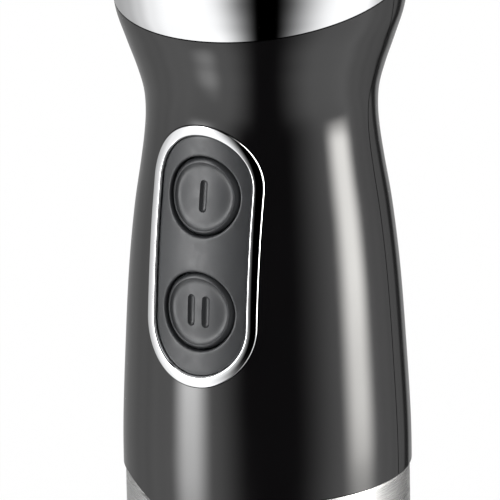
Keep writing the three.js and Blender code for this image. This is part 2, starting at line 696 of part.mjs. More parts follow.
// Depths behind a button's face. The flange lies behind the curved panel, clear of its sides.
const BUTTON_FLANGE_RADIUS = BUTTON_RADIUS + 1.5;
const panelBackRadius = handleRadius(BUTTON_LOW_Z) - PANEL_BACK;
const panelBackCurve = panelBackRadius - Math.sqrt(panelBackRadius ** 2 - BUTTON_FLANGE_RADIUS ** 2);
const BUTTON_FLANGE_FRONT = PANEL_BACK - PANEL_RECESS + panelBackCurve + 0.15;
const BUTTON_FLANGE_BACK = BUTTON_FLANGE_FRONT + 1.2;
const BUTTON_STEM_END = BUTTON_FLANGE_BACK + 0.9;
const SWITCH_FRONT = BUTTON_STEM_END + BUTTON_TRAVEL + GAP;
const SWITCH_DEPTH = 4.9;
const BOARD_FRONT = SWITCH_FRONT + SWITCH_DEPTH + GAP;
const BOARD_THICKNESS = 1.6;
const POST_RADIUS = 1.7;
const POST_CLEAR = BUTTON_FLANGE_RADIUS + POST_RADIUS + GAP; // least distance from a button's middle
const UPPER_POST_RISE = BUTTON_SPACING / 2 + 7.1;
const UPPER_POST_X = Math.sqrt(POST_CLEAR ** 2 - 7.1 ** 2);
const LOWER_POST_X = POST_CLEAR + 1.2;
const POST_PLACES = [
  [-LOWER_POST_X, -4],
  [LOWER_POST_X, -4],
  [-UPPER_POST_X, UPPER_POST_RISE],
  [UPPER_POST_X, UPPER_POST_RISE],
];

function makePanel() {
  const inset = 2 * (BEZEL_BAND + TRIM_GAP);
  const lip = 2 * PANEL_FLANGE_LIP;
  const plug = panelForm(-PANEL_RECESS).intersect(panelPrism(BEZEL_WIDTH - inset, BEZEL_HEIGHT - inset));
  const flange = panelForm(-FLANGE_FRONT).intersect(panelPrism(BEZEL_WIDTH + lip, BEZEL_HEIGHT + lip));
  const plate = cut(join(plug, flange), panelForm(-PANEL_BACK));
  const posts = POST_PLACES.map(([x, z]) =>
    fromPanelFrame(barAlongY(POST_RADIUS, x, z, -8, BOARD_FRONT - GAP, 10))
      .intersect(panelForm(-FLANGE_FRONT - GAP)));
  const holes = [lowSeat, highSeat].map((seat) =>
    fromSeat(barAlongY(BUTTON_RADIUS + GAP, 0, 0, -5, 12, 20), seat));
  return cut(join(plate, ...posts), ...holes);
}

function makeBezel() {
  const band = cut(panelPrism(BEZEL_WIDTH, BEZEL_HEIGHT),
    panelPrism(BEZEL_WIDTH - 2 * BEZEL_BAND, BEZEL_HEIGHT - 2 * BEZEL_BAND));
  return cut(panelForm(BEZEL_PROUD), panelForm(-SHELL_WALL)).intersect(band);
}

// A button: a dished disc with a round rim, a flange behind the panel and a stem.
function makeButton(marks) {
  const body = turned([
    [0, -0.85],
    [BUTTON_RADIUS - 4.7, -0.72],
    [BUTTON_RADIUS - 2.5, -0.2],
    [BUTTON_RADIUS - 1.3, 0.2],
    [BUTTON_RADIUS - 0.5, -0.05],
    [BUTTON_RADIUS, -0.8],
    [BUTTON_RADIUS, -BUTTON_FLANGE_FRONT],
    [BUTTON_FLANGE_RADIUS, -BUTTON_FLANGE_FRONT],
    [BUTTON_FLANGE_RADIUS, -BUTTON_FLANGE_BACK],
    [2.5, -BUTTON_FLANGE_BACK],
    [2.5, -BUTTON_STEM_END],
    [0, -BUTTON_STEM_END],
  ], 20).rotate([90, 0, 0]);
  const engraved = marks.map((x) => stadiumAlongY(MARK_WIDTH, MARK_LENGTH, 0, -1, 1.4, x, 4));
  return cut(body, ...engraved);
}

place('button_panel', makePanel(), 'mattPlastic');
place('panel_bezel', makeBezel(), 'chrome');
place('button_low', fromSeat(makeButton([0]), lowSeat), 'mattPlastic');
place('button_high', fromSeat(makeButton([-MARK_SPACING / 2, MARK_SPACING / 2]), highSeat), 'mattPlastic');

// ---------------------------------------------------------------- control board, in the leaning frame

const BOARD_BACK = BOARD_FRONT + BOARD_THICKNESS;
const BUTTON_SPREAD = (BUTTON_LOW_Z - BUTTON_HIGH_Z) / 2;

function makeSwitch(z) {
  const body = block([-6.4, SWITCH_FRONT + 0.8, z - 3.2], [6.4, BOARD_FRONT - GAP, z + 3.2]);
  return join(body, barAlongY(1.3, 0, z, SWITCH_FRONT, SWITCH_FRONT + 1.5, 10));
}

function makeHeatSink() {
  const base = block([-12, BOARD_BACK + GAP, -4], [12, BOARD_BACK + 2, 7]);
  const fins = [-10.5, -6.3, -2.1, 2.1, 6.3, 10.5].map((x) =>
    block([x - 0.6, BOARD_BACK + 1, -4], [x + 0.6, BOARD_BACK + 9, 7]));
  return join(base, ...fins);
}

const BOARD_HALF_WIDTH = LOWER_POST_X + 2;
place('control_board', block([-BOARD_HALF_WIDTH, BOARD_FRONT, -14],
  [BOARD_HALF_WIDTH, BOARD_BACK, UPPER_POST_RISE + 2.5]), 'board', panelFrame);
place('switch_low', makeSwitch(BUTTON_SPREAD), 'innerPlastic', panelFrame);
place('switch_high', makeSwitch(-BUTTON_SPREAD), 'innerPlastic', panelFrame);
place('heat_sink', makeHeatSink(), 'aluminium', panelFrame);
place('capacitor', block([-9, BOARD_BACK + GAP, 8.5], [9, BOARD_BACK + 11, 21]), 'copper', panelFrame);

// ---------------------------------------------------------------- motor, fixed pieces

const STACK_TOP = STACK_BOTTOM + STACK_LENGTH;
const NOSE_RADIUS = SOCKET_RADIUS - GAP;
const NOSE_FLANGE_TOP = JOINT_Z + 3.7;
const BRACKET_BOTTOM = NOSE_FLANGE_TOP + GAP;
const BRACKET_TOP = BRACKET_BOTTOM + 3;
const LOWER_BEARING_BOTTOM = BRACKET_BOTTOM + 2.3;
const FAN_BOTTOM = LOWER_BEARING_BOTTOM + BEARING_LENGTH + 1.3;
const COIL_TOP = STACK_TOP + COIL_OVERHANG;
const COMMUTATOR_BOTTOM = STACK_TOP + 5;
const BRUSH_MIDDLE = COMMUTATOR_BOTTOM + COMMUTATOR_LENGTH / 2;
const UPPER_PLATE_BOTTOM = COMMUTATOR_BOTTOM + COMMUTATOR_LENGTH + 1;
const UPPER_PLATE_TOP = UPPER_PLATE_BOTTOM + 3;
const UPPER_BEARING_BOTTOM = UPPER_PLATE_BOTTOM + 1.5 + GAP;
const ROTOR_TOP = UPPER_BEARING_BOTTOM + BEARING_LENGTH + 1.5;
const BRUSH_START = COMMUTATOR_RADIUS + GAP;
const BRUSH_END = BRUSH_START + 3.5;
const HOLDER_END = BRUSH_END + 6.2;

function makeCouplingNose() {
  const body = turned([
    [9, JOINT_Z + 2 * GAP],
    [NOSE_RADIUS - 2, JOINT_Z + 2 * GAP],
    [NOSE_RADIUS - 2, SOCKET_FLOOR + 6.5],
    [NOSE_RADIUS, SOCKET_FLOOR + 6.5],
    [NOSE_RADIUS, JOINT_Z + 2 * GAP],
    [SPIGOT_RADIUS, JOINT_Z + 2 * GAP],
    [SPIGOT_RADIUS, NOSE_FLANGE_TOP],
    [9, NOSE_FLANGE_TOP],
  ]);
  const latchSlot = block(
    [-LATCH_WIDTH / 2 - GAP, LATCH_OUTER_Y - LATCH_NOSE - GAP, JOINT_Z],
    [LATCH_WIDTH / 2 + GAP, -NOSE_RADIUS, NOSE_FLANGE_TOP + 1]);
  const springSeat = block([-3, -13.2, NOSE_FLANGE_TOP - 1], [3, -11.4, NOSE_FLANGE_TOP + 6]);
  return join(cut(body, latchSlot), springSeat);
}

function makeLowerBracket() {
  const reach = STATOR_RADIUS + 0.5;
  const strap = block([-reach, -8, BRACKET_BOTTOM], [reach, 8, BRACKET_TOP]);
  const hub = disc(LOWER_BEARING_RADIUS + 2.4, BRACKET_BOTTOM, LOWER_BEARING_BOTTOM + BEARING_LENGTH);
  const posts = [-1, 1].map((side) => block(
    [side > 0 ? reach - 2.6 : -reach, -4.5, BRACKET_BOTTOM],
    [side > 0 ? reach : -reach + 2.6, 4.5, STACK_BOTTOM - GAP]));
  const pocket = disc(LOWER_BEARING_RADIUS + GAP, LOWER_BEARING_BOTTOM - GAP, FAN_BOTTOM);
  const bore = disc(SHAFT_RADIUS + 2, BRACKET_BOTTOM - 1, FAN_BOTTOM);
  return cut(join(strap, hub, ...posts), pocket, bore);
}

function makeUpperBracket() {
  const arm = STATOR_RADIUS - 1.4;
  const plate = disc(HOLDER_END, UPPER_PLATE_BOTTOM, UPPER_PLATE_TOP);
  const strap = block([-arm, -4.5, UPPER_PLATE_BOTTOM], [arm, 4.5, UPPER_PLATE_TOP]);
  const hub = disc(UPPER_BEARING_RADIUS + 2.4, UPPER_PLATE_BOTTOM, UPPER_BEARING_BOTTOM + BEARING_LENGTH);
  const posts = [-1, 1].map((side) => block(
    [side > 0 ? arm - 2.6 : -arm, -4.5, STACK_TOP + GAP],
    [side > 0 ? arm : -arm + 2.6, 4.5, UPPER_PLATE_TOP]));
  const pocket = disc(UPPER_BEARING_RADIUS + GAP, UPPER_BEARING_BOTTOM - GAP, ROTOR_TOP);
  const bore = disc(SHAFT_RADIUS + 2, UPPER_PLATE_BOTTOM - 1, ROTOR_TOP);
  return cut(join(plate, strap, hub, ...posts), pocket, bore);
}

// Lamination outline: a yoke ring with two poles along X, each with a neck and a curved shoe.
function makeStator() {
  const yoke = COIL_OUTER + GAP;
  const shoeBack = COIL_INNER - GAP;
  const neckAngle = (radius) => Math.asin(NECK_HALF_WIDTH / radius);
  const outline = new THREE.Shape();
  outline.absarc(0, 0, STATOR_RADIUS, 0, Math.PI * 2);
  const window = new THREE.Path();
  [0, Math.PI].forEach((pole) => {
    const next = pole + Math.PI;
    window.absarc(0, 0, STATOR_BORE, pole - SHOE_HALF_ANGLE, pole + SHOE_HALF_ANGLE);
    window.absarc(0, 0, shoeBack, pole + SHOE_HALF_ANGLE, pole + neckAngle(shoeBack), true);
    window.absarc(0, 0, yoke, pole + neckAngle(yoke), next - neckAngle(yoke));
    window.absarc(0, 0, shoeBack, next - neckAngle(shoeBack), next - SHOE_HALF_ANGLE, true);
  });
  outline.holes.push(window);
  return extruded(outline, STACK_BOTTOM, STACK_TOP, 7);
}

function makeFieldCoil() {
  const outline = new THREE.Shape();
  outline.absarc(0, 0, COIL_OUTER, -COIL_HALF_ANGLE, COIL_HALF_ANGLE);
  outline.absarc(0, 0, COIL_INNER, COIL_HALF_ANGLE, -COIL_HALF_ANGLE, true);
  const band = extruded(outline, STACK_BOTTOM - COIL_OVERHANG, COIL_TOP, 6);
  const neck = block([0, -NECK_HALF_WIDTH - GAP, STACK_BOTTOM - GAP],
    [STATOR_RADIUS, NECK_HALF_WIDTH + GAP, STACK_TOP + GAP]);
  return cut(band, neck);
}


function makeBrushHolder() {
  const top = UPPER_PLATE_BOTTOM - GAP;
  const outside = block([-4.5, BRUSH_START + 0.8, BRUSH_MIDDLE - 4.2], [4.5, HOLDER_END, top]);
  const inside = block([-2.8, BRUSH_START, BRUSH_MIDDLE - 2.8],
    [2.8, HOLDER_END - 1.2, BRUSH_MIDDLE + 2.8]);
  return cut(outside, inside);
}

const brushParts = {
  brush_holder: [makeBrushHolder(), 'bronze'],
  carbon_brush: [
    block([-2.5, BRUSH_START, BRUSH_MIDDLE - 2.5], [2.5, BRUSH_END, BRUSH_MIDDLE + 2.5]), 'carbon'],
  brush_spring: [springAlongY(2.2, 0.6, 3, BRUSH_MIDDLE, BRUSH_END + GAP, HOLDER_END - 1.5), 'steel'],
};

place('coupling_nose', makeCouplingNose(), 'innerPlastic');
place('lower_bracket', makeLowerBracket(), 'aluminium');
place('upper_bracket', makeUpperBracket(), 'innerPlastic');
place('stator_core', makeStator(), 'lamination');
place('field_coil_right', makeFieldCoil(), 'copper');
place('field_coil_left', makeFieldCoil().rotate([0, 0, 180]), 'copper');
place('motor_mount_ring', ring(STATOR_RADIUS + GAP, handleRadius(STACK_BOTTOM + 10) - SHELL_WALL - GAP,
  LOWER_SEAM_Z + 2.5, LOWER_SEAM_Z + 9, ROUND), 'rubber');
place('lower_bearing', ring(SHAFT_HOLE, LOWER_BEARING_RADIUS, LOWER_BEARING_BOTTOM,
  LOWER_BEARING_BOTTOM + BEARING_LENGTH), 'steel');
place('upper_bearing', ring(SHAFT_HOLE, UPPER_BEARING_RADIUS, UPPER_BEARING_BOTTOM,
  UPPER_BEARING_BOTTOM + BEARING_LENGTH), 'steel');
Object.entries(brushParts).forEach(([name, [shape, finish]]) => {
  place(`${name}_rear`, shape, finish);
  place(`${name}_front`, shape.rotate([0, 0, 180]), finish);
});

// ---------------------------------------------------------------- rotor

const DRIVE_COUPLER_BOTTOM = COUPLER_SHOULDER + GAP;
const DRIVE_SOCKET_TOP = COUPLER_TOP + GAP;
const ROTOR_BOTTOM = DRIVE_SOCKET_TOP + 2.3;
const ARMATURE_RADIUS = STATOR_BORE - GAP;
const ARMATURE_SLOTS = 12;

function makeArmature() {
  const outline = new THREE.Shape();
  const slot = 2.1 / ARMATURE_RADIUS;
  const pitch = (Math.PI * 2) / ARMATURE_SLOTS;
  for (let i = 0; i < ARMATURE_SLOTS; i += 1) {
    const start = i * pitch + slot / 2;
    const end = (i + 1) * pitch - slot / 2;
    outline.absarc(0, 0, ARMATURE_RADIUS, start, end);
    outline.lineTo((ARMATURE_RADIUS - 4) * Math.cos(end), (ARMATURE_RADIUS - 4) * Math.sin(end));
    outline.lineTo(
      (ARMATURE_RADIUS - 4) * Math.cos(end + slot), (ARMATURE_RADIUS - 4) * Math.sin(end + slot));
  }
  return cut(extruded(outline, STACK_BOTTOM, STACK_TOP, 2),
    disc(SHAFT_HOLE, STACK_BOTTOM - 1, STACK_TOP + 1));
}

function makeWinding(near, far) {
  const middle = (near + far) / 2;
  const reach = ARMATURE_RADIUS - 1.4;
  return turned([
    [SHAFT_HOLE + 1.5, near],
    [reach, near],
    [reach + 0.2, middle],
    [reach - 1.6, far],
    [SHAFT_HOLE + 2.5, far],
  ], SMALL_ROUND);
}

function makeFan() {
  const plate = disc(FAN_RADIUS, FAN_BOTTOM, FAN_BOTTOM + 1.1, 18);
  const hub = disc(SHAFT_HOLE + 2.2, FAN_BOTTOM, FAN_BOTTOM + 4.4);
  const vane = block([7, -0.5, FAN_BOTTOM + 0.5], [FAN_RADIUS - 0.5, 0.5, FAN_BOTTOM + 4.4]);
  const vanes = Array.from({ length: 9 }, (_, i) => vane.rotate([0, 0, 40 * i]));
  return cut(join(plate, hub, ...vanes), disc(SHAFT_HOLE, FAN_BOTTOM - 1, FAN_BOTTOM + 6));
}

function makeDriveCoupler() {
  const top = BRACKET_BOTTOM - 1;
  return cut(disc(COUPLER_HEX + 3.3, DRIVE_COUPLER_BOTTOM, top),
    disc(COUPLER_HEX + 0.4, DRIVE_COUPLER_BOTTOM - 1, DRIVE_SOCKET_TOP, 6),
    disc(SHAFT_HOLE, ROTOR_BOTTOM - GAP, top + 1));
}

place('rotor_shaft', disc(SHAFT_RADIUS, ROTOR_BOTTOM, ROTOR_TOP), 'steel');
place('armature_core', makeArmature(), 'lamination');
place('winding_upper', makeWinding(STACK_TOP + GAP, STACK_TOP + 4.6), 'copper');
place('winding_lower', makeWinding(STACK_BOTTOM - GAP, STACK_BOTTOM - 4.6), 'copper');
place('commutator', ring(SHAFT_HOLE, COMMUTATOR_RADIUS, COMMUTATOR_BOTTOM,
  COMMUTATOR_BOTTOM + COMMUTATOR_LENGTH), 'copper');
place('cooling_fan', makeFan(), 'innerPlastic');
place('drive_coupler', makeDriveCoupler(), 'innerPlastic');

// ---------------------------------------------------------------- release button and latch

const SPRING_Z = BRACKET_BOTTOM + 3.2;

function makeLatch() {
  const half = LATCH_WIDTH / 2;
  const plate = block([-half, LATCH_OUTER_Y, LATCH_BOTTOM], [half, LATCH_INNER_Y, RELEASE_Z + 3.5]);
  const nose = block([-half, LATCH_OUTER_Y - LATCH_NOSE, LATCH_BOTTOM],
    [half, LATCH_OUTER_Y + 0.5, LATCH_BOTTOM + 2]);
  return join(plate, nose);
}

place('release_button', barAlongY(RELEASE_RADIUS, 0, RELEASE_Z, -SLEEVE_RADIUS - 0.9,
  LATCH_OUTER_Y - GAP, 18), 'mattPlastic');
place('latch_plate', makeLatch(), 'steel');
place('release_spring', springAlongY(2.2, 0.6, 5, SPRING_Z, LATCH_INNER_Y + GAP,
  -13.2 - RELEASE_TRAVEL - GAP), 'steel');

// ---------------------------------------------------------------- dial, potentiometer, cord inlet

const DIAL_BOTTOM = CAP_TOP_Z + 0.9 + GAP;
const DIAL_TOP = DIAL_BOTTOM + DIAL_HEIGHT;
const POT_TOP = CROWN_SEAT - GAP;

function makeDial() {
  const body = turned([
    [0, DIAL_BOTTOM], [DIAL_RADIUS, DIAL_BOTTOM], [DIAL_RADIUS - 0.5, DIAL_TOP - 1.6],
    [DIAL_RADIUS - 1.6, DIAL_TOP - 0.3], [DIAL_RADIUS - 3, DIAL_TOP], [0, DIAL_TOP + 0.3],
  ]);
  const flutes = Array.from({ length: DIAL_FLUTES }, (_, i) => {
    const angle = (i / DIAL_FLUTES) * Math.PI * 2;
    const reach = DIAL_RADIUS + 0.5;
    return disc(1.2, DIAL_BOTTOM + 2, DIAL_TOP + 2, 6)
      .translate([reach * Math.cos(angle), reach * Math.sin(angle), 0]);
  });
  const pointer = block([-0.6, -DIAL_RADIUS + 3, DIAL_TOP - 0.4], [0.6, -DIAL_RADIUS + 8, DIAL_TOP + 1]);
  return cut(body, ...flutes, pointer, disc(3 + GAP, DIAL_BOTTOM - 1, DIAL_BOTTOM + 6));
}

place('speed_dial', makeDial(), 'mattPlastic');
place('dial_shaft', disc(3, POT_TOP + GAP, DIAL_BOTTOM + 6 - GAP), 'aluminium');
place('potentiometer', block([-8, -8, POT_TOP - 9], [8, 8, POT_TOP]), 'innerPlastic');

function makeGland() {
  const body = turned([
    [0, CROWN_SEAT + 1],
    [GLAND_RADIUS - 1, CROWN_SEAT + 1],
    [GLAND_RADIUS - 1, CAP_TOP_Z + 1 + GAP],
    [GLAND_RADIUS, CAP_TOP_Z + 1 + GAP],
    [GLAND_RADIUS - 0.4, CAP_TOP_Z + 5],
    [GLAND_RADIUS - 0.9, CAP_TOP_Z + 5.5],
    [0, CAP_TOP_Z + 5.5],
  ], 18);
  return cut(body, disc(GLAND_BORE, CROWN_SEAT + 3, CAP_TOP_Z + 8, 18)).translate([0, GLAND_Y, 0]);
}

place('cord_inlet_gland', makeGland(), 'rubber');

export default blender;
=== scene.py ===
# %% [markdown]
# An immersion blender dressed for a studio view.
# The CAD frame already holds every working piece at its real size: motor, rotor, shafts, shells and foot.
# This lesson keeps those pieces where they are and rebuilds the ones that can be seen, each as a fine
# mesh made by hand-like steps: draw half an outline, spin it, slice it, cut openings, round the edges.

# %% Load the frame
import json
import math

import bpy
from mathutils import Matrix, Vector


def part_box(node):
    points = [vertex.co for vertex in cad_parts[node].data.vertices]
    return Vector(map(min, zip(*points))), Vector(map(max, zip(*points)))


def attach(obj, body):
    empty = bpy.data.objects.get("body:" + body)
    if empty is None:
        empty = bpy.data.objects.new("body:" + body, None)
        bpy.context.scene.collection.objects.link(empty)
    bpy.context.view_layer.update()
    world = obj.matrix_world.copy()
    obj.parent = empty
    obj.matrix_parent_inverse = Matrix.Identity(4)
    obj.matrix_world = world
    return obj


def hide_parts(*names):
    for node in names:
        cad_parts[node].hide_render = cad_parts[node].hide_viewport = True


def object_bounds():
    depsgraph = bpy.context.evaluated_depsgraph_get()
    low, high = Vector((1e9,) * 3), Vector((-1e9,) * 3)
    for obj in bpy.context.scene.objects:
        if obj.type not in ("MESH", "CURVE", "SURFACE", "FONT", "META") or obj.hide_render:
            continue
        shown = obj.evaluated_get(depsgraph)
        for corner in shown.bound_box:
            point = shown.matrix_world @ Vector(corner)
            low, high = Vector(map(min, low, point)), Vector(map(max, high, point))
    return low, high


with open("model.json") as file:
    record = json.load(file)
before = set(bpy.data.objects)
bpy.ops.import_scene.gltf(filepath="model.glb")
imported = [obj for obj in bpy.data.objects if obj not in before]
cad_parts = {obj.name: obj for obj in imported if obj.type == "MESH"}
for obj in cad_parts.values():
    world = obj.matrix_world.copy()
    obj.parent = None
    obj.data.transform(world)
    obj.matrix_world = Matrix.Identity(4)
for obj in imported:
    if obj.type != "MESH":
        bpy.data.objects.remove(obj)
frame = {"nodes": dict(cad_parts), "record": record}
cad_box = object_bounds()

record = frame["record"]

# %% [markdown]
# Sizes are in millimetres, as on a workshop drawing. The main heights and radii are read from the
# frame, so that the fine pieces always meet the working pieces they stand for.

# %% Driving sizes
MM = 0.001
GAP = 0.3  # clearance between neighbouring pieces


def mm(*values):
    return tuple(value * MM for value in values)


def low(node, axis):
    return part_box(node)[0]["xyz".index(axis)] / MM


def high(node, axis):
    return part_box(node)[1]["xyz".index(axis)] / MM


def mid(node, axis):
    return (low(node, axis) + high(node, axis)) / 2


JOINT = high("foot_collar", "z")
LOWER_SEAM = high("sleeve", "z") + GAP
SLEEVE_RADIUS = high("sleeve", "x") + 0.4  # the finished skin is this much fuller than the working one
HANDLE_RADIUS = SLEEVE_RADIUS + 0.45  # where the plastic is widest, above the lower seam
CAP_TOP = high("chrome_cap", "z")
UPPER_SEAM = CAP_TOP - 21.05
SEAM_TILT = 6.3  # the upper seam is this much lower in front and higher behind
SEAM_DIP = 6.6  # the lower seam sinks this much in front
SPLIT = 2.4  # plane where the two half shells meet
SHELL_WALL = 2.4
PANEL_MIDDLE = mid("panel_bezel", "z")
print("seams at", round(LOWER_SEAM, 2), "and", round(UPPER_SEAM, 2), "- panel middle", round(PANEL_MIDDLE, 2))

# %% [markdown]
# The handle is a slim waisted barrel. Its side line is a smooth curve through a few points, each given
# as a height above the lower seam and how far the line has moved in from the widest radius. The
# shells, the cap, the ring, the panel and the buttons all lie on this one surface.

# %% The handle's side line
SIDE_LINE = [
    (-7, 0), (8, 0.06), (26, 0.9), (44, 2.08), (58, 3.6), (68, 5.18), (74, 6.02),
    (79.3, 6.41), (84.5, 6.08), (90, 4.6), (96, 2.5), (103, 0.3), (115, -1.0),
]
SIDE_POINTS = [(LOWER_SEAM + rise, HANDLE_RADIUS - inset) for rise, inset in SIDE_LINE]


def slope_at(points, i):
    before, after = points[max(i - 1, 0)], points[min(i + 1, len(points) - 1)]
    return (after[1] - before[1]) / (after[0] - before[0])


def smooth_line(points, where):
    """Value at a place on a smooth curve through (place, value) points."""
    if where <= points[0][0]:
        return points[0][1]
    if where >= points[-1][0]:
        return points[-1][1]
    i = max(k for k, point in enumerate(points) if point[0] <= where)
    span = points[i + 1][0] - points[i][0]
    t = (where - points[i][0]) / span
    start, end = points[i][1], points[i + 1][1]
    bend = slope_at(points, i) * (1 - t) - slope_at(points, i + 1) * t
    return start * (1 + 2 * t) * (1 - t) ** 2 + end * t * t * (3 - 2 * t) + span * t * (1 - t) * bend


def handle_radius(height):
    return smooth_line(SIDE_POINTS, height)


def rows(bottom, top, step):
    """Evenly spaced heights from bottom to top, about a step apart."""
    count = max(1, round((top - bottom) / step))
    return [bottom + (top - bottom) * i / count for i in range(count + 1)]


print("waist radius", round(min(handle_radius(z) for z in rows(LOWER_SEAM, UPPER_SEAM, 1)), 2))

# %% [markdown]
# Most pieces of a blender are turned or moulded round one axis. The first tools draw a closed outline
# point by point, as one extrudes a corner along a drawing, and spin it all the way round.

# %% Tools that start a piece
JOIN = 0.002 * MM  # corners nearer than this are one corner


def clear_selection():
    if bpy.context.mode != "OBJECT":
        bpy.ops.object.mode_set(mode="OBJECT")
    bpy.ops.object.select_all(action="DESELECT")


def take(piece):
    """Make one piece the selected and active one."""
    clear_selection()
    piece.select_set(True)
    bpy.context.view_layer.objects.active = piece
    return piece


def new_piece(name):
    piece = bpy.context.object
    piece.name = piece.data.name = name
    return piece


def open_mesh(piece):
    """Go into edit mode with everything selected."""
    take(piece)
    bpy.ops.object.mode_set(mode="EDIT")
    bpy.ops.mesh.select_all(action="SELECT")


def extrude(*step):
    bpy.ops.mesh.extrude_region_move(TRANSFORM_OT_translate={"value": mm(*step)})


def tidy_mesh(piece):
    """Merge doubled corners, then turn all faces outwards."""
    open_mesh(piece)
    bpy.ops.mesh.remove_doubles(threshold=JOIN)
    bpy.ops.mesh.delete_loose(use_verts=True, use_edges=True, use_faces=False)
    bpy.ops.mesh.select_all(action="SELECT")
    bpy.ops.mesh.normals_make_consistent(inside=False)
    bpy.ops.object.mode_set(mode="OBJECT")
    return piece


def draw_outline(name, points):
    """A closed chain of edges through (x, z) points, left in edit mode with everything selected."""
    clear_selection()
    bpy.ops.mesh.primitive_plane_add(size=MM)
    piece = new_piece(name)
    bpy.ops.object.mode_set(mode="EDIT")
    bpy.ops.mesh.select_mode(type="VERT")
    bpy.ops.mesh.merge(type="CENTER")
    here = points[0]
    bpy.ops.transform.translate(value=mm(here[0], 0, here[1]))
    for point in [*points[1:], points[0]]:
        extrude(point[0] - here[0], 0, point[1] - here[1])
        here = point
    bpy.ops.mesh.select_all(action="SELECT")
    bpy.ops.mesh.remove_doubles(threshold=JOIN)
    bpy.ops.mesh.select_all(action="SELECT")
    return piece


def above(base, points):
    """Outline points whose heights are counted from a base."""
    return [(radius, base + rise) for radius, rise in points]


def spun(name, outline, sides=96):
    """A round piece from a closed outline of (radius, height) points."""
    piece = draw_outline(name, outline)
    bpy.ops.mesh.spin(steps=sides, angle=math.tau, center=(0, 0, 0), axis=(0, 0, 1))
    return tidy_mesh(piece)


def plug(name, radius, bottom, top, sides=32):
    """A plain bar along Z."""
    return spun(name, [(0, bottom), (radius, bottom), (radius, top), (0, top)], sides)


def pill_bar(name, wide, tall, front, back, x=0, z=0, sides=48):
    """A bar along Y whose section is a pill: a circle with its halves drawn apart."""
    clear_selection()
    small = min(wide, tall)
    bpy.ops.mesh.primitive_circle_add(vertices=sides, radius=small / 2 * MM, fill_type="NGON",
                                      rotation=(math.pi / 2, 0, 0), location=mm(x, front, z))
    piece = new_piece(name)
    bpy.ops.object.transform_apply(location=True, rotation=True)
    for side in (-1, 1):
        if wide != tall:
            pick(piece, lambda c: (c.x - x if wide > tall else c.z - z) * side > 0.01)
            bpy.ops.transform.translate(value=mm(side * (wide - small) / 2, 0, side * (tall - small) / 2))
    open_mesh(piece)
    extrude(0, back - front, 0)
    return tidy_mesh(piece)


# %% Tools that shape a piece
def pick(piece, test):
    """Go into edit mode with only the corners selected whose place, in millimetres, passes a test."""
    take(piece)
    bpy.ops.object.mode_set(mode="EDIT")
    bpy.ops.mesh.select_mode(type="VERT")
    bpy.ops.mesh.select_all(action="DESELECT")
    bpy.ops.object.mode_set(mode="OBJECT")
    for corner in piece.data.vertices:
        corner.select = bool(test(corner.co / MM))
    bpy.ops.object.mode_set(mode="EDIT")


def slice_off(piece, point, arrow):
    """Cut away what lies on the arrow's side of a plane, and close the cut."""
    open_mesh(piece)
    bpy.ops.mesh.bisect(plane_co=mm(*point), plane_no=arrow, use_fill=True, clear_outer=True, threshold=1e-7)
    return tidy_mesh(piece)


def score(piece, point, arrow):
    """Draw a plane's line across a piece, so that it can bend there."""
    open_mesh(piece)
    bpy.ops.mesh.bisect(plane_co=mm(*point), plane_no=arrow, threshold=1e-7)
    bpy.ops.object.mode_set(mode="OBJECT")


def combine(piece, other, how):
    """Cut the other piece out, or weld it on, and throw it away."""
    take(piece)
    tool = piece.modifiers.new(how.title(), "BOOLEAN")
    tool.operation = how
    tool.object = other
    tool.solver = "EXACT"
    bpy.ops.object.modifier_apply(modifier=tool.name)
    bpy.data.objects.remove(other)
    return piece


def cut(piece, *others):
    for other in others:
        combine(piece, other, "DIFFERENCE")
    return piece


def weld(piece, *others):
    for other in others:
        combine(piece, other, "UNION")
    return piece


def merge_meshes(name, pieces):
    """Several loose meshes in one object."""
    take(pieces[0])
    for piece in pieces[1:]:
        piece.select_set(True)
    bpy.ops.object.join()
    return new_piece(name)


def copy_of(piece, name):
    take(piece)
    bpy.ops.object.duplicate()
    return new_piece(name)


def put(piece, place=(0, 0, 0), turn=(0, 0, 0)):
    """Turn a piece about its origin (degrees), move it (millimetres), and fix both in its mesh."""
    take(piece)
    piece.rotation_euler = [math.radians(angle) for angle in turn]
    piece.location = mm(*place)
    bpy.ops.object.transform_apply(location=True, rotation=True, scale=True)
    return piece


def wrap_on_handle(piece):
    """Lay a flat piece on the barrel: its y is the depth below the handle's surface.
    No bend tool follows a barrel that also narrows, so each corner is moved by the side line's formula."""
    for corner in piece.data.vertices:
        x, depth, z = corner.co / MM
        corner.co.y = -math.sqrt((handle_radius(z) - depth) ** 2 - x * x) * MM
    return tidy_mesh(piece)


# %% [markdown]
# A finished piece stands for one node of the frame: it rides on the same body, takes the same material
# slot, and hides the plain node. Edges sharper than an angle stay crisp, the rest is shaded smooth.

# %% Handing a piece to the frame
SLOT_OF = {row["node"]: row["material_slot"] for row in record["subparts"]}
BODY_OF = {node: body for body, nodes in record["behaviour"]["bodies"].items() for node in nodes}
FINISHES = {}


def dress(piece, slot, crease):
    take(piece)
    bpy.ops.object.shade_smooth_by_angle(angle=math.radians(crease))
    piece.data.materials.clear()
    piece.data.materials.append(FINISHES[slot])


def stands_for(piece, node, crease=32):
    dress(piece, SLOT_OF[node], crease)
    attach(piece, BODY_OF[node])
    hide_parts(node)
    clear_selection()
    print(f"{piece.name}: {len(piece.data.polygons)} faces, stands for {node}")
    return piece


# %% [markdown]
# Every finish is made of nodes: a noise that mottles the colour a little, a noise that breaks up the
# gloss, and a fine bump. The noises read Object coordinates, so a pattern stays on its piece.

# %% Tools for finishes
def socket_value(shader, **values):
    for name, value in values.items():
        shader.inputs[name.replace("_", " ")].default_value = value


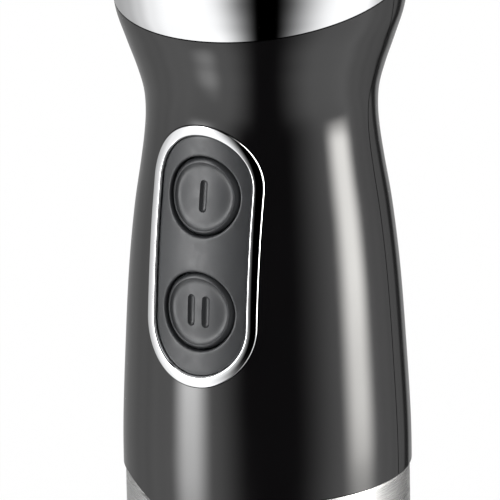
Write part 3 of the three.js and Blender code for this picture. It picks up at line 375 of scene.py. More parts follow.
class Finish:
    """A material under construction: the node tree and its main shader."""

    def __init__(self, slot, colour, roughness, metallic=0.0, **sockets):
        self.material = bpy.data.materials.new(slot)
        self.material.use_nodes = True
        self.tree = self.material.node_tree
        self.shader = self.tree.nodes["Principled BSDF"]
        socket_value(self.shader, Base_Color=(*colour, 1), Roughness=roughness, Metallic=metallic, **sockets)
        self.colour = colour
        self.place = self.tree.nodes.new("ShaderNodeTexCoord").outputs["Object"]
        self.normal = None
        FINISHES[slot] = self.material

    def node(self, kind, **settings):
        made = self.tree.nodes.new(kind)
        for name, value in settings.items():
            setattr(made, name, value)
        return made

    def noise(self, size, stretch=(1, 1, 1), detail=3.0):
        """Noise with features of a size in millimetres; a stretch above 1 draws them out along that axis."""
        mapping = self.node("ShaderNodeMapping")
        mapping.inputs["Scale"].default_value = [1 / (size * MM * s) for s in stretch]
        self.tree.links.new(self.place, mapping.inputs["Vector"])
        noise = self.node("ShaderNodeTexNoise")
        socket_value(noise, Scale=1.0, Detail=detail, Roughness=0.55)
        self.tree.links.new(mapping.outputs["Vector"], noise.inputs["Vector"])
        return noise.outputs["Fac"]

    def spread(self, factor, start, end, low_in=0.3, high_in=0.7):
        """Map a noise on to a range of values."""
        change = self.node("ShaderNodeMapRange")
        for name, value in zip(("From Min", "From Max", "To Min", "To Max"), (low_in, high_in, start, end)):
            change.inputs[name].default_value = value
        self.tree.links.new(factor, change.inputs["Value"])
        return change.outputs["Result"]

    def tint(self, factor, other, first=None):
        """Mix towards another colour where the factor is high."""
        mix = self.node("ShaderNodeMix", data_type="RGBA")
        mix.inputs["A"].default_value = (*(first or self.colour), 1)
        mix.inputs["B"].default_value = (*other, 1)
        self.tree.links.new(factor, mix.inputs["Factor"])
        self.tree.links.new(mix.outputs["Result"], self.shader.inputs["Base Color"])
        return self

    def mottle(self, factor, dark, light):
        """Let the colour drift between two shades of itself."""
        return self.tint(factor, [min(1.0, c * light) for c in self.colour], [c * dark for c in self.colour])

    def gloss(self, factor, smooth, rough):
        self.tree.links.new(self.spread(factor, smooth, rough), self.shader.inputs["Roughness"])
        return self

    def relief(self, factor, height):
        """A bump of a height in millimetres, added to any bump made before."""
        bump = self.node("ShaderNodeBump")
        socket_value(bump, Strength=1.0, Distance=height * MM)
        self.tree.links.new(factor, bump.inputs["Height"])
        if self.normal is not None:
            self.tree.links.new(self.normal, bump.inputs["Normal"])
        self.normal = bump.outputs["Normal"]
        self.tree.links.new(self.normal, self.shader.inputs["Normal"])
        return self

    def grain(self, gloss, mottle, relief):
        """Three noises at once. Each begins with its size and detail; then come the roughness from smooth
        to rough, the shades from dark to light, and the relief's height."""
        self.gloss(self.noise(gloss[0], detail=gloss[1]), *gloss[2:])
        self.mottle(self.noise(mottle[0], detail=mottle[1]), *mottle[2:])
        return self.relief(self.noise(relief[0], detail=relief[1]), relief[2])

    def brushed_round(self, amount):
        """Highlights drawn out across brushing that runs round the Z axis."""
        tangent = self.node("ShaderNodeTangent", direction_type="RADIAL", axis="Z")
        self.tree.links.new(tangent.outputs["Tangent"], self.shader.inputs["Tangent"])
        socket_value(self.shader, Anisotropic=amount)
        return self


# %% [markdown]
# The handle's plastic is nearly black and polished like piano lacquer, with a very shallow ripple and
# slightly duller patches from handling. The panel and the buttons have a fine matt surface.

# %% Plastics and rubber
gloss = Finish("gloss_shell", (0.0044, 0.0041, 0.0045), 0.1, IOR=1.6)
gloss.grain((9, 4, 0.075, 0.12), (30, 3, 0.85, 1.15), (7, 1, 0.004))

matt = Finish("matt_control", (0.024, 0.0252, 0.0275), 0.44)
matt.grain((2.2, 5, 0.38, 0.50), (0.5, 4, 0.82, 1.2), (0.16, 2, 0.006))

satin = Finish("crown_plastic", (0.012, 0.012, 0.013), 0.34)
satin.grain((3, 5, 0.28, 0.42), (1.2, 3, 0.85, 1.25), (0.25, 3, 0.005))

moulded = Finish("inner_plastic", (0.045, 0.046, 0.05), 0.5)
moulded.grain((2, 4, 0.42, 0.6), (4, 3, 0.8, 1.2), (0.4, 3, 0.012))

rubber = Finish("rubber", (0.011, 0.011, 0.0115), 0.78)
rubber.grain((1.5, 5, 0.68, 0.88), (0.8, 3, 0.75, 1.35), (0.3, 4, 0.02))
print("plastics:", sorted(FINISHES))

# %% [markdown]
# The steel of the foot and the sleeve is brushed round its axis in long faint rings, which draw a
# highlight out up and down the tube. The cap and the panel's ring are chromed plastic, almost a mirror.

# %% Metals
steel = Finish("steel", (0.50, 0.497, 0.492), 0.27, metallic=1.0)
rings = steel.noise(0.22, stretch=(900, 900, 1), detail=3)
steel.gloss(rings, 0.24, 0.31).mottle(steel.noise(0.35, stretch=(400, 400, 1), detail=4), 0.965, 1.03)
steel.relief(rings, 0.0009).brushed_round(0.55)

ground = Finish("bright_steel", (0.64, 0.64, 0.645), 0.24, metallic=1.0)
ground.gloss(ground.noise(0.6, stretch=(8, 1, 1), detail=5), 0.18, 0.34).mottle(ground.noise(2), 0.9, 1.08)
ground.relief(ground.noise(0.2, stretch=(10, 1, 1)), 0.003)

chrome = Finish("chrome", (0.86, 0.865, 0.875), 0.035, metallic=1.0)
chrome.grain((6, 4, 0.025, 0.055), (12, 3, 0.985, 1.01), (11, 1, 0.003))

aluminium = Finish("aluminium", (0.55, 0.56, 0.57), 0.4, metallic=1.0)
aluminium.grain((0.8, 5, 0.32, 0.5), (1.5, 3, 0.85, 1.1), (0.4, 3, 0.01))

bronze = Finish("bronze", (0.52, 0.33, 0.15), 0.45, metallic=1.0)
bronze.grain((0.5, 5, 0.36, 0.6), (0.4, 4, 0.7, 1.15), (0.25, 4, 0.015))
print("metals:", sorted(FINISHES))

# %% [markdown]
# Inside the motor the lamination stack shows the edges of thin steel sheets, the coils show turns of
# enamelled wire, and the board shows green resist. Waves along Z or across give the sheets and turns.

# %% Motor finishes
def striped(finish, pitch, direction="Z"):
    """Fine parallel lines with a pitch in millimetres."""
    wave = finish.node("ShaderNodeTexWave", wave_type="BANDS", bands_direction=direction)
    socket_value(wave, Scale=0.314 / (pitch * MM), Distortion=0.6, Detail=1.0)
    finish.tree.links.new(finish.place, wave.inputs["Vector"])
    return wave.outputs["Fac"]


sheets = Finish("lamination", (0.16, 0.16, 0.17), 0.5, metallic=1.0)
sheet_edges = striped(sheets, 0.5)
sheets.mottle(sheet_edges, 0.55, 1.25).relief(sheet_edges, 0.04).gloss(sheets.noise(1), 0.4, 0.62)

wire = Finish("copper", (0.60, 0.25, 0.11), 0.32, metallic=1.0)
turns = striped(wire, 0.6, "DIAGONAL")
wire.mottle(turns, 0.6, 1.15).relief(turns, 0.08).gloss(wire.noise(1.4), 0.24, 0.42)

carbon = Finish("carbon", (0.022, 0.022, 0.024), 0.6)
carbon.mottle(carbon.noise(0.2, detail=5), 0.6, 1.8).gloss(carbon.noise(0.6), 0.5, 0.75)
carbon.relief(carbon.noise(0.15), 0.01)

board = Finish("board", (0.012, 0.085, 0.035), 0.35)
board.tint(board.spread(board.noise(1.6, detail=0), 0, 1, 0.56, 0.6), (0.02, 0.16, 0.06))
board.gloss(board.noise(2), 0.28, 0.45).relief(board.noise(1.6, detail=0), 0.03)

film = Finish("capacitor", (0.36, 0.20, 0.03), 0.3)
film.mottle(film.noise(2.5, detail=3), 0.8, 1.15).gloss(film.noise(3), 0.22, 0.4)
film.relief(film.noise(1.2), 0.02)

for node_name, slot_name in SLOT_OF.items():
    for material_slot in frame["nodes"][node_name].material_slots:
        material_slot.material = FINISHES[slot_name]
print("finishes:", len(FINISHES), "on", len(SLOT_OF), "frame nodes")

# %% [markdown]
# Black lacquer and chrome show what surrounds them. Here the camera and the diffuse light see a plain
# white studio, and glossy rays see the same studio with its furniture: two tall soft boxes, a dark
# flag in front and grey corners. It is all a function of the direction round the object, so it stands
# still in the room when the camera moves.

# %% Camera
VIEW_AZIMUTH = math.radians(30.6)
VIEW_ELEVATION = math.radians(17.3)
VIEW_ROLL = math.radians(-1.0)
VIEW_DISTANCE = 1600
FRAME_WIDTH = 108.1  # what the camera takes in at the handle
AIM_LEFT = 3.1
AIM_HEIGHT = PANEL_MIDDLE - 6.1

right = Vector((math.cos(VIEW_AZIMUTH), math.sin(VIEW_AZIMUTH), 0))
towards = Vector((math.sin(VIEW_AZIMUTH), -math.cos(VIEW_AZIMUTH), 0))
aim = Vector((0, 0, AIM_HEIGHT)) - right * AIM_LEFT
sight = towards * math.cos(VIEW_ELEVATION) + Vector((0, 0, math.sin(VIEW_ELEVATION)))
clear_selection()
bpy.ops.object.camera_add(location=mm(*(aim + sight * VIEW_DISTANCE)))
camera = bpy.context.object
camera.name = "studio_camera"
camera.rotation_mode = "QUATERNION"
camera.rotation_quaternion = sight.to_track_quat("Z", "Y")
camera.rotation_mode = "XYZ"
camera.rotation_euler.rotate_axis("Z", VIEW_ROLL)
camera.data.sensor_width = 36
camera.data.lens = 36 * VIEW_DISTANCE / FRAME_WIDTH
bpy.context.scene.camera = camera
bpy.context.scene.view_settings.view_transform = "Standard"
print("camera at", [round(value, 3) for value in camera.location], "lens", round(camera.data.lens), "mm")

# %% The studio, as glossy surfaces see it
# Degrees round the object from straight towards the camera (plus is to its right), and brightness.
# The flag in front is a dark card, wider for surfaces that see it level than for the others.
LEFT_WALL = [(-180, 0.4), (-150, 0.42), (-130, 0.5), (-114, 0.68), (-98, 0.98), (-82, 1.15)]
RIGHT_WALL = [
    (92, 1.15), (111, 0.7), (124, 0.48), (139, 0.32), (144, 0.05), (151, 0.05), (156, 0.42), (180, 0.4),
]
FLAG_LEVEL = [(-50, 1.2), (-14, 0.0), (21, 0.0), (70, 1.2)]
FLAG_BELOW = [(-40, 1.2), (-2, 0.0), (12, 0.0), (61, 1.2)]
RAMP_TOP = 1.25
# Each soft box: middle and half width, soft edge (degrees), strength, colour, and the sines of the
# elevations where it fades in and out. The last one is a pale card that lies on the table.
SOFT_BOXES = [
    (-64, 2, 18, 10.5, (1.0, 1.0, 1.0), (-0.47, -0.15, 0.74, 0.80)),
    (80, 2, 18, 12.0, (1.0, 0.985, 0.955), (-0.42, -0.15, 0.74, 0.80)),
    (-64, 2, 18, 3.2, (1.0, 1.0, 1.0), (-1.3, -1.2, -0.80, -0.70)),
]

world = bpy.data.worlds.new("studio")
bpy.context.scene.world = world
world.use_nodes = True
world.cycles.sampling_method = "NONE"
studio = world.node_tree
studio.nodes.clear()


def studio_node(kind, inputs=(), **settings):
    """A node of the studio with its settings and its inputs, which are numbers or other sockets."""
    made = studio.nodes.new(kind)
    for name, value in settings.items():
        setattr(made, name, value)
    for name, value in dict(inputs).items():
        if isinstance(value, bpy.types.NodeSocket):
            studio.links.new(value, made.inputs[name])
        else:
            made.inputs[name].default_value = value
    return made


def sum_of(kind, first, second):
    return studio_node("ShaderNodeMath", {0: first, 1: second}, operation=kind).outputs[0]


def fade(value, start, end):
    """0 before start, 1 after end."""
    limits = {"Value": value, "From Min": start, "From Max": end, "To Min": 0.0, "To Max": 1.0}
    return studio_node("ShaderNodeMapRange", limits, interpolation_type="SMOOTHSTEP").outputs["Result"]


direction = studio_node("ShaderNodeTexCoord").outputs["Generated"]
across, ahead = [studio_node("ShaderNodeVectorMath", {0: direction, 1: axis}, operation="DOT_PRODUCT")
                 .outputs["Value"] for axis in (right, towards)]
bearing = sum_of("MULTIPLY", sum_of("ARCTAN2", across, ahead), 180 / math.pi)
height = studio_node("ShaderNodeSeparateXYZ", {0: direction}).outputs["Z"]


def panorama(marks):
    """Brightness round the whole studio, eased from one mark to the next."""
    ramp = studio_node("ShaderNodeValToRGB", {"Fac": sum_of("DIVIDE", sum_of("ADD", bearing, 180.0), 360.0)})
    ramp.color_ramp.interpolation = "EASE"
    stops = ramp.color_ramp.elements
    while len(stops) > 1:
        stops.remove(stops[-1])
    for i, (degrees, value) in enumerate(marks):
        stop = stops[0] if i == 0 else stops.new((degrees + 180) / 360)
        stop.position = (degrees + 180) / 360
        stop.color = (*[value / RAMP_TOP] * 3, 1)
    shine = {"Color": ramp.outputs["Color"], "Strength": RAMP_TOP}
    return studio_node("ShaderNodeBackground", shine).outputs[0]


below, level = [panorama(LEFT_WALL + flag + RIGHT_WALL) for flag in (FLAG_BELOW, FLAG_LEVEL)]
walls = studio_node("ShaderNodeMixShader", {0: fade(height, -0.6, -0.22), 1: below, 2: level}).outputs[0]

for middle, half, edge, strength, colour, (foot, chest, brow, head) in SOFT_BOXES:
    reach = sum_of("MULTIPLY", fade(height, foot, chest), sum_of("SUBTRACT", 1.0, fade(height, brow, head)))
    away = sum_of("ABSOLUTE", sum_of("SUBTRACT", bearing, float(middle)), 0.0)
    inside = sum_of("SUBTRACT", 1.0, fade(away, half, half + edge))
    box = studio_node("ShaderNodeBackground", {"Color": (*colour, 1), "Strength": strength}).outputs[0]
    share = sum_of("MULTIPLY", inside, reach)
    walls = studio_node("ShaderNodeMixShader", {0: share, 1: walls, 2: box}).outputs[0]

plain = studio_node("ShaderNodeBackground", {"Color": (1, 1, 1, 1), "Strength": 1.0}).outputs[0]
glossy_ray = studio_node("ShaderNodeLightPath").outputs["Is Glossy Ray"]
seen = studio_node("ShaderNodeMixShader", {0: glossy_ray, 1: plain, 2: walls}).outputs[0]
studio_node("ShaderNodeOutputWorld", {"Surface": seen})
print("studio nodes:", len(studio.nodes))

# %% The floor
FLOOR_SIZE = 60
clear_selection()
bpy.ops.mesh.primitive_plane_add(size=FLOOR_SIZE, location=(0, 0, cad_box[0].z - 0.0002))
floor = new_piece("studio_floor")
floor.visible_glossy = False
paper = Finish("floor_paper", (0.9, 0.9, 0.9), 0.9, Specular_IOR_Level=0.0)
camera_ray = paper.node("ShaderNodeLightPath").outputs["Is Camera Ray"]
paper.tint(camera_ray, (1.0, 1.0, 1.0))
floor.data.materials.append(FINISHES.pop("floor_paper"))
print("floor:", FLOOR_SIZE, "m across")

# %% [markdown]
# The casing is two half shells, each with a step at both ends where the sleeve and the cap slide
# over, and screw posts inside. Both are one barrel first: spun whole, its lower edge drawn down in
# front by a soft grab, its head sliced on a slant, and only then sliced in two.

# %% The barrel
SLEEVE_BORE = SLEEVE_RADIUS - 1.2
SPIGOT_RADIUS = SLEEVE_BORE - GAP
SPIGOT_BOTTOM = low("front_shell", "z")
CAP_RADIUS = handle_radius(CAP_TOP)
CAP_BORE = CAP_RADIUS - 2
HEAD_RADIUS = CAP_BORE - GAP
HEAD_TOP = high("front_shell", "z")
HEAD_FOOT = UPPER_SEAM - SEAM_TILT - 1
SEAM_SLOPE = SEAM_TILT / handle_radius(UPPER_SEAM)
SHINY_SIDES = 192
DIP_SPREAD = 47  # degrees round the barrel that the dip reaches to each side


def sink_front(piece, edge_height, radii):
    """Grab the edge's front corners and draw them down, with the neighbours following softly."""
    pick(piece, lambda c: c.z < edge_height - 1)
    bpy.ops.mesh.hide(unselected=False)
    pick(piece, lambda c: abs(c.x) < 0.05 and c.y < 0 and abs(c.z - edge_height) < 0.4
         and min(abs(-c.y - radius) for radius in radii) < 0.4)
    spread = 2 * HANDLE_RADIUS * math.sin(math.radians(DIP_SPREAD) / 2)
    bpy.ops.transform.translate(value=mm(0, 0, -SEAM_DIP), use_proportional_edit=True,
                                proportional_edit_falloff="SMOOTH", proportional_size=spread * MM)
    bpy.ops.mesh.reveal(select=False)
    return piece


barrel_top = UPPER_SEAM + SEAM_TILT + 1
outside = [(handle_radius(z), z) for z in rows(LOWER_SEAM, barrel_top, 1.1)]
inside = [(handle_radius(z) - SHELL_WALL, z) for z in rows(LOWER_SEAM + 2, barrel_top, 3)]
foot_step = [
    (SPIGOT_RADIUS - 2, LOWER_SEAM), (SPIGOT_RADIUS - 2, SPIGOT_BOTTOM), (SPIGOT_RADIUS, SPIGOT_BOTTOM),
    (SPIGOT_RADIUS, LOWER_SEAM),
]
barrel = spun("barrel", outside + inside[::-1] + foot_step, SHINY_SIDES)
sink_front(barrel, LOWER_SEAM, [HANDLE_RADIUS, SPIGOT_RADIUS])
slice_off(barrel, (0, 0, UPPER_SEAM), (0, -SEAM_SLOPE, 1))
weld(barrel, spun("head_step", [
    (HEAD_RADIUS, HEAD_FOOT), (HEAD_RADIUS, HEAD_TOP), (HEAD_RADIUS - 2, HEAD_TOP),
    (HEAD_RADIUS - 2, HEAD_FOOT),
], SHINY_SIDES))
print("barrel:", len(barrel.data.vertices), "corners")

# %% Halve the barrel
rear_half = copy_of(barrel, "rear_half_shell")
front_half = barrel
front_half.name = front_half.data.name = "front_half_shell"
slice_off(front_half, (0, SPLIT - GAP / 2, 0), (0, 1, 0))
slice_off(rear_half, (0, SPLIT + GAP / 2, 0), (0, -1, 0))
print("halves:", len(front_half.data.polygons), "and", len(rear_half.data.polygons), "faces")

# %% [markdown]
# Four posts inside each half take the screws, whose heads sit deep in round wells in the rear half.
# Air for the motor leaves through five upright slots low on the back. The front half has the opening
# that the button panel fills.

# %% Posts, wells and openings
SCREWS = [f"shell_screw_{i}" for i in (1, 2, 3, 4)]
SCREW_SPOTS = [(mid(screw, "x"), mid(screw, "z")) for screw in SCREWS]
SCREW_HEAD = 3.0
SCREW_HOLE = 1.75
WELL_DEPTH = 6
WELL_FLOORS = [math.sqrt(handle_radius(z) ** 2 - x * x) - WELL_DEPTH for x, z in SCREW_SPOTS]
POST_RADIUS = 3.6
VENT_WIDE, VENT_TALL, VENT_PITCH = 2.2, 16, 5
VENT_HEIGHT = LOWER_SEAM + 20
OPENING_WIDE, OPENING_TALL = 27.4, 57.0


def round_bars(name, radius, starts, end):
    """Round bars along Y at the screws' places, each from its own start."""
    bars = [pill_bar(name, 2 * radius, 2 * radius, start, end, x, z, 32)
            for (x, z), start in zip(SCREW_SPOTS, starts)]
    return merge_meshes(name, bars)


def posts(name, start, end):
    """The posts' outer ends are trimmed to the barrel, just inside its surface."""
    bars = round_bars(name, POST_RADIUS, [start] * 4, end)
    side = [(handle_radius(z) - 1.2, z) for z in rows(LOWER_SEAM + 8, UPPER_SEAM - 6, 3)]
    core = spun("core", [(0, side[0][1]), *side, (0, side[-1][1])])
    return combine(bars, core, "INTERSECT")


weld(front_half, posts("front_posts", -40, SPLIT - GAP / 2))
cut(front_half,
    round_bars("pilots", SCREW_HOLE, [-9] * 4, SPLIT + 1),
    pill_bar("panel_opening", OPENING_WIDE, OPENING_TALL, -40, -5, z=PANEL_MIDDLE, sides=96))
weld(rear_half, posts("rear_posts", SPLIT + GAP / 2, 40))
cut(rear_half,
    round_bars("shanks", SCREW_HOLE, [SPLIT - 1] * 4, 45),
    round_bars("wells", SCREW_HEAD + GAP, WELL_FLOORS, 46),
    merge_meshes("vents", [
        pill_bar(f"vent_{i}", VENT_WIDE, VENT_TALL, 15, 45, x=VENT_PITCH * i, z=VENT_HEIGHT, sides=24)
        for i in (-2, -1, 0, 1, 2)
    ]))
for half, node in ((front_half, "front_shell"), (rear_half, "rear_shell")):
    tidy_mesh(half)
    stands_for(half, node, crease=28)

# %% [markdown]
# The screws are ordinary pan heads with a cross recess. Each one is turned and cut, then set in place.

# %% Casing screws
SHANK_END = -8.5
for screw, (x, z), well_floor in zip(SCREWS, SCREW_SPOTS, WELL_FLOORS):
    seat = well_floor + GAP
    body = spun("case_" + screw, [
        (0, SHANK_END), (0.9, SHANK_END + 0.6), (1.45, SHANK_END + 1.6), (1.45, seat), (SCREW_HEAD, seat),
        (SCREW_HEAD, seat + 0.9), (2.7, seat + 1.45), (2.1, seat + 1.8), (1.1, seat + 1.97), (0, seat + 2),
    ], 40)
    for wide, tall in ((0.9, 3.6), (3.6, 0.9)):
        recess = pill_bar("recess", wide, tall, -3, 0, sides=16)
        cut(body, put(recess, turn=(90, 0, 0), place=(0, 0, seat + 1)))
    put(body, turn=(-90, 0, 0), place=(x, 0, z))
    stands_for(body, screw)

# %% [markdown]
# Below the seam a thin steel sleeve continues the barrel; above it sits the chromed cap. The same
# grab draws the sleeve's upper edge down. Both its edges are rolled and catch a thin line of light.

# %% Steel sleeve
def arc(radius, height, size, start, end, steps=4):
    """Points round (radius, height) from a start angle to an end angle, in degrees from outwards."""
    angles = [math.radians(start + (end - start) * i / steps) for i in range(steps + 1)]
    return [(radius + size * math.cos(a), height + size * math.sin(a)) for a in angles]


EDGE = 0.25
sleeve_foot, sleeve_head = JOINT + GAP, LOWER_SEAM - GAP
sleeve = spun("steel_sleeve", [
    *arc(SLEEVE_RADIUS - EDGE, sleeve_foot + EDGE, EDGE, -90, 0),
    *[(SLEEVE_RADIUS, z) for z in rows(sleeve_foot + 1, sleeve_head - 1, 1.5)],
    *arc(SLEEVE_RADIUS - EDGE, sleeve_head - EDGE, EDGE, 0, 90),
    (SLEEVE_BORE, sleeve_head), (SLEEVE_BORE, sleeve_foot),
], SHINY_SIDES)
sink_front(sleeve, sleeve_head, [SLEEVE_RADIUS, SLEEVE_RADIUS - EDGE, SLEEVE_BORE])
RELEASE_RADIUS = 4.2
RELEASE_HEIGHT = mid("release_button", "z")
RELEASE_HOLE = 2 * (RELEASE_RADIUS + GAP)
cut(sleeve, pill_bar("release_hole", RELEASE_HOLE, RELEASE_HOLE, -40, -20, z=RELEASE_HEIGHT, sides=64))
stands_for(sleeve, "sleeve")

# %% Chrome cap
CAP_MOUTH = 27
cap_line = [(UPPER_SEAM + rise, handle_radius(UPPER_SEAM + rise)) for rise in (-9, -5, -1, 3)]
cap_line += [(CAP_TOP - drop, radius) for drop, radius in ((11, 32.42), (7, 31.95), (3.5, 30.8), (1.2, 29.3))]
cap_side = [(smooth_line(cap_line, z), z) for z in rows(cap_line[0][0], CAP_TOP - 1.2, 0.7)]
cap_face = above(CAP_TOP, [
    (28.75, -0.7), (28.2, -0.32), (27.7, -0.12), (27.35, -0.08), (27.08, -0.2), (CAP_MOUTH, -0.5),
    (CAP_MOUTH, -4.7), (CAP_BORE - 0.6, -4.7), (CAP_BORE, -5.6),
])
cap = spun("chromed_cap", cap_side + cap_face + [(CAP_BORE, cap_line[0][0])], SHINY_SIDES)
slice_off(cap, (0, 0, UPPER_SEAM + GAP), (0, SEAM_SLOPE, -1))
stands_for(cap, "chrome_cap")

# %% [markdown]
# The crown closes the top inside the cap. The speed dial turns on it, beside the gland where the cord
# goes in. The dial has shallow flutes for the fingers: they are drawn in as whole columns of corners.

# %% Crown, dial and gland
DIAL_RADIUS = 14.5
crown_rim = CAP_MOUTH - GAP
crown = spun("crown_plate", above(CAP_TOP, [
    (4, -8.2), (CAP_BORE - 0.6, -8.2), (CAP_BORE - 0.6, -6), (CAP_BORE - 1.2, -5), (crown_rim, -5),
    (crown_rim, -0.6), (crown_rim - 0.2, -0.2), (crown_rim - 0.8, 0.1), (DIAL_RADIUS + 5, 0.75),
    (DIAL_RADIUS + 3.6, 0.8), (DIAL_RADIUS + 0.9, 0.85), (DIAL_RADIUS + 0.7, 0.7), (DIAL_RADIUS + 0.5, 0.7),
    (DIAL_RADIUS + 0.3, 0.9), (4, 0.9),
]), 128)
GLAND_Y = mid("cord_inlet_gland", "y")
cut(crown, put(plug("gland_hole", 5.3, CAP_TOP - 10, CAP_TOP + 5, 48), place=(0, GLAND_Y, 0)))
stands_for(crown, "crown")

FLUTES = 14
dial_foot, dial_head = low("speed_dial", "z"), high("speed_dial", "z") - 0.3
dial_side = [
    (3.3, 6), (3.3, 0), (DIAL_RADIUS - 0.3, 0), (DIAL_RADIUS, 0.3), (DIAL_RADIUS, 1.6),
    (DIAL_RADIUS - 0.15, 2),
    *[(DIAL_RADIUS - 0.15 - 0.05 * i, 2 + 1.2 * i) for i in (1, 2, 3, 4, 5)],
]
dial_face = [
    *arc(DIAL_RADIUS - 2, -1.6, 1.6, 15, 85, 6), (DIAL_RADIUS - 3, -0.05), (DIAL_RADIUS - 4, -0.35),
    (DIAL_RADIUS - 5, -0.4), (5, -0.2), (0, -0.1),
]
dial = spun("speed_knob", above(dial_foot, dial_side) + above(dial_head, dial_face) + [(0, dial_foot + 6)],
            FLUTES * 10)


def flute_phase(corner):
    """Where a corner lies between two flutes: 0 in the middle of a flute, 0.5 on a ridge."""
    turn = math.atan2(corner.y, corner.x) / math.tau * FLUTES
    return abs(turn - round(turn))


for phase, shrink in ((0.05, 0.935), (0.15, 0.945), (0.25, 0.972)):
    pick(dial, lambda c: abs(flute_phase(c) - phase) < 0.051 and c.z > dial_foot + 1.8
         and math.hypot(c.x, c.y) > DIAL_RADIUS - 3.2)
    bpy.ops.transform.resize(value=(shrink, shrink, 1), center_override=(0, 0, 0))
cut(dial, pill_bar("pointer", 1.6, 1.6, -DIAL_RADIUS + 1.6, -5.5, z=dial_head + 0.1, sides=24))
stands_for(dial, "speed_dial", crease=40)

gland_foot, gland_head = low("cord_inlet_gland", "z"), high("cord_inlet_gland", "z")
gland_seat = CAP_TOP + 1 + GAP
gland_side = [
    (4, -0.5), (4.4, -0.1), (4.9, 0), (5.2, -0.15), (5.35, -0.6), (5.35, -1.0), (5.7, -1.3), (5.75, -2.0),
    (5.5, -2.2), (5.5, -2.6), (5.9, -2.8),
]
gland = spun("inlet_gland", [
    (4, gland_foot + 2), *above(gland_head, gland_side), (6, gland_seat + 0.3), (5.8, gland_seat),
    (5, gland_seat), (5, gland_foot), (0, gland_foot), (0, gland_foot + 2),
], 64)
stands_for(put(gland, place=(0, GLAND_Y, 0)), "cord_inlet_gland")

# %% [markdown]
# A scale of raised ticks round the dial, longer step by step, shows its sweep from slow to fast.

# %% Dial scale
paint = Finish("scale_paint", (0.62, 0.63, 0.65), 0.4)
paint.gloss(paint.noise(0.5), 0.32, 0.5).mottle(paint.noise(0.3), 0.9, 1.05)
TICKS = 11
marks = []
for i in range(TICKS):
    length = 1.2 + 1.6 * i / (TICKS - 1)
    angle = 135 - 270 * i / (TICKS - 1)
    middle = DIAL_RADIUS + 2.2 + length / 2
    mark = pill_bar(f"tick_{i}", 0.7, length, -CAP_TOP - 1.0, -CAP_TOP + 0.4, z=middle, sides=16)
    marks.append(put(put(mark, turn=(-90, 0, 0)), turn=(0, 0, 180 + angle)))
scale = merge_meshes("dial_scale", marks)
dress(scale, "scale_paint", 30)
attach(scale, "motor_unit")
print(scale.name, [round(value / MM, 1) for value in scale.dimensions])

# %% [markdown]
# A chromed ring frames the button panel: a flat band with a chamfer towards the panel and a rounded
# outer edge. Its section is swept half a turn round the upper end, down in short steps, half a turn
# round the lower end and up again. Only then is the flat ring laid on the barrel.

# %% Ring round the panel
RING_BAND = 2.3
RING_TRIM = 0.5  # the finished ring is this much slimmer all round than the working one
RING_HALF = high("panel_bezel", "x") - RING_TRIM
RING_REACH = (high("panel_bezel", "z") - low("panel_bezel", "z")) / 2 - RING_TRIM
END_RADIUS = RING_HALF - RING_BAND  # the ring's inner edge at its round ends
STRAIGHT = 2 * (RING_REACH - RING_HALF)
PROUD = 0.3


def pill_sweep(name, section, steps=64):
    """Carry a closed section of (out, depth) points round a pill's outline."""
    upper, lower = PANEL_MIDDLE + STRAIGHT / 2, PANEL_MIDDLE - STRAIGHT / 2
    ring = draw_outline(name, [(END_RADIUS + out, -depth) for out, depth in section])
    open_mesh(put(ring, turn=(90, 0, 0), place=(0, 0, upper)))
    pieces = round(STRAIGHT / 1.2)
    for centre, way in ((upper, -1), (lower, 1)):
        bpy.ops.mesh.spin(steps=steps, angle=math.pi, center=mm(0, 0, centre), axis=(0, 1, 0))
        for _ in range(pieces):
            extrude(0, 0, way * STRAIGHT / pieces)
    return tidy_mesh(ring)


ring_section = [
    (0, SHELL_WALL), (0, 0.3), (0.03, 0.2), (0.24, -0.16), (0.34, -PROUD + 0.04), (0.48, -PROUD),
    (2.12, -PROUD), (2.22, -PROUD + 0.04), (2.27, -PROUD + 0.1), (RING_BAND, -PROUD + 0.22),
    (RING_BAND, SHELL_WALL),
]
ring = wrap_on_handle(pill_sweep("chromed_ring", ring_section))
stands_for(ring, "panel_bezel", crease=50)

# %% [markdown]
# The panel is a thin matt moulding, sunk a little below the ring, with a lip behind the shell that
# holds it. It starts as a flat pill with a softened edge and two round wells with rolled rims. Then it
# is scored into a fine grid so that it can bend, and laid on the barrel.

# %% Button panel
PANEL_FACE = 0.5  # depth of the panel's face below the handle's surface
LIP_DEPTH = SHELL_WALL + GAP
PANEL_BACK = LIP_DEPTH + 1.5
PLUG_WIDE = 2 * (END_RADIUS - 0.1)
PLUG_TALL = PLUG_WIDE + STRAIGHT
LIP_WIDE, LIP_TALL = 32, 61.6
GRID = 1.3
BUTTON_RADIUS = 8.3
BUTTON_SPACING = 24.8
PAIR_RISE = 0.4
WELL = BUTTON_RADIUS + GAP
WELL_RIM = 0.55
BUTTON_Z = {
    "button_low": PANEL_MIDDLE + PAIR_RISE + BUTTON_SPACING / 2,
    "button_high": PANEL_MIDDLE + PAIR_RISE - BUTTON_SPACING / 2,
}

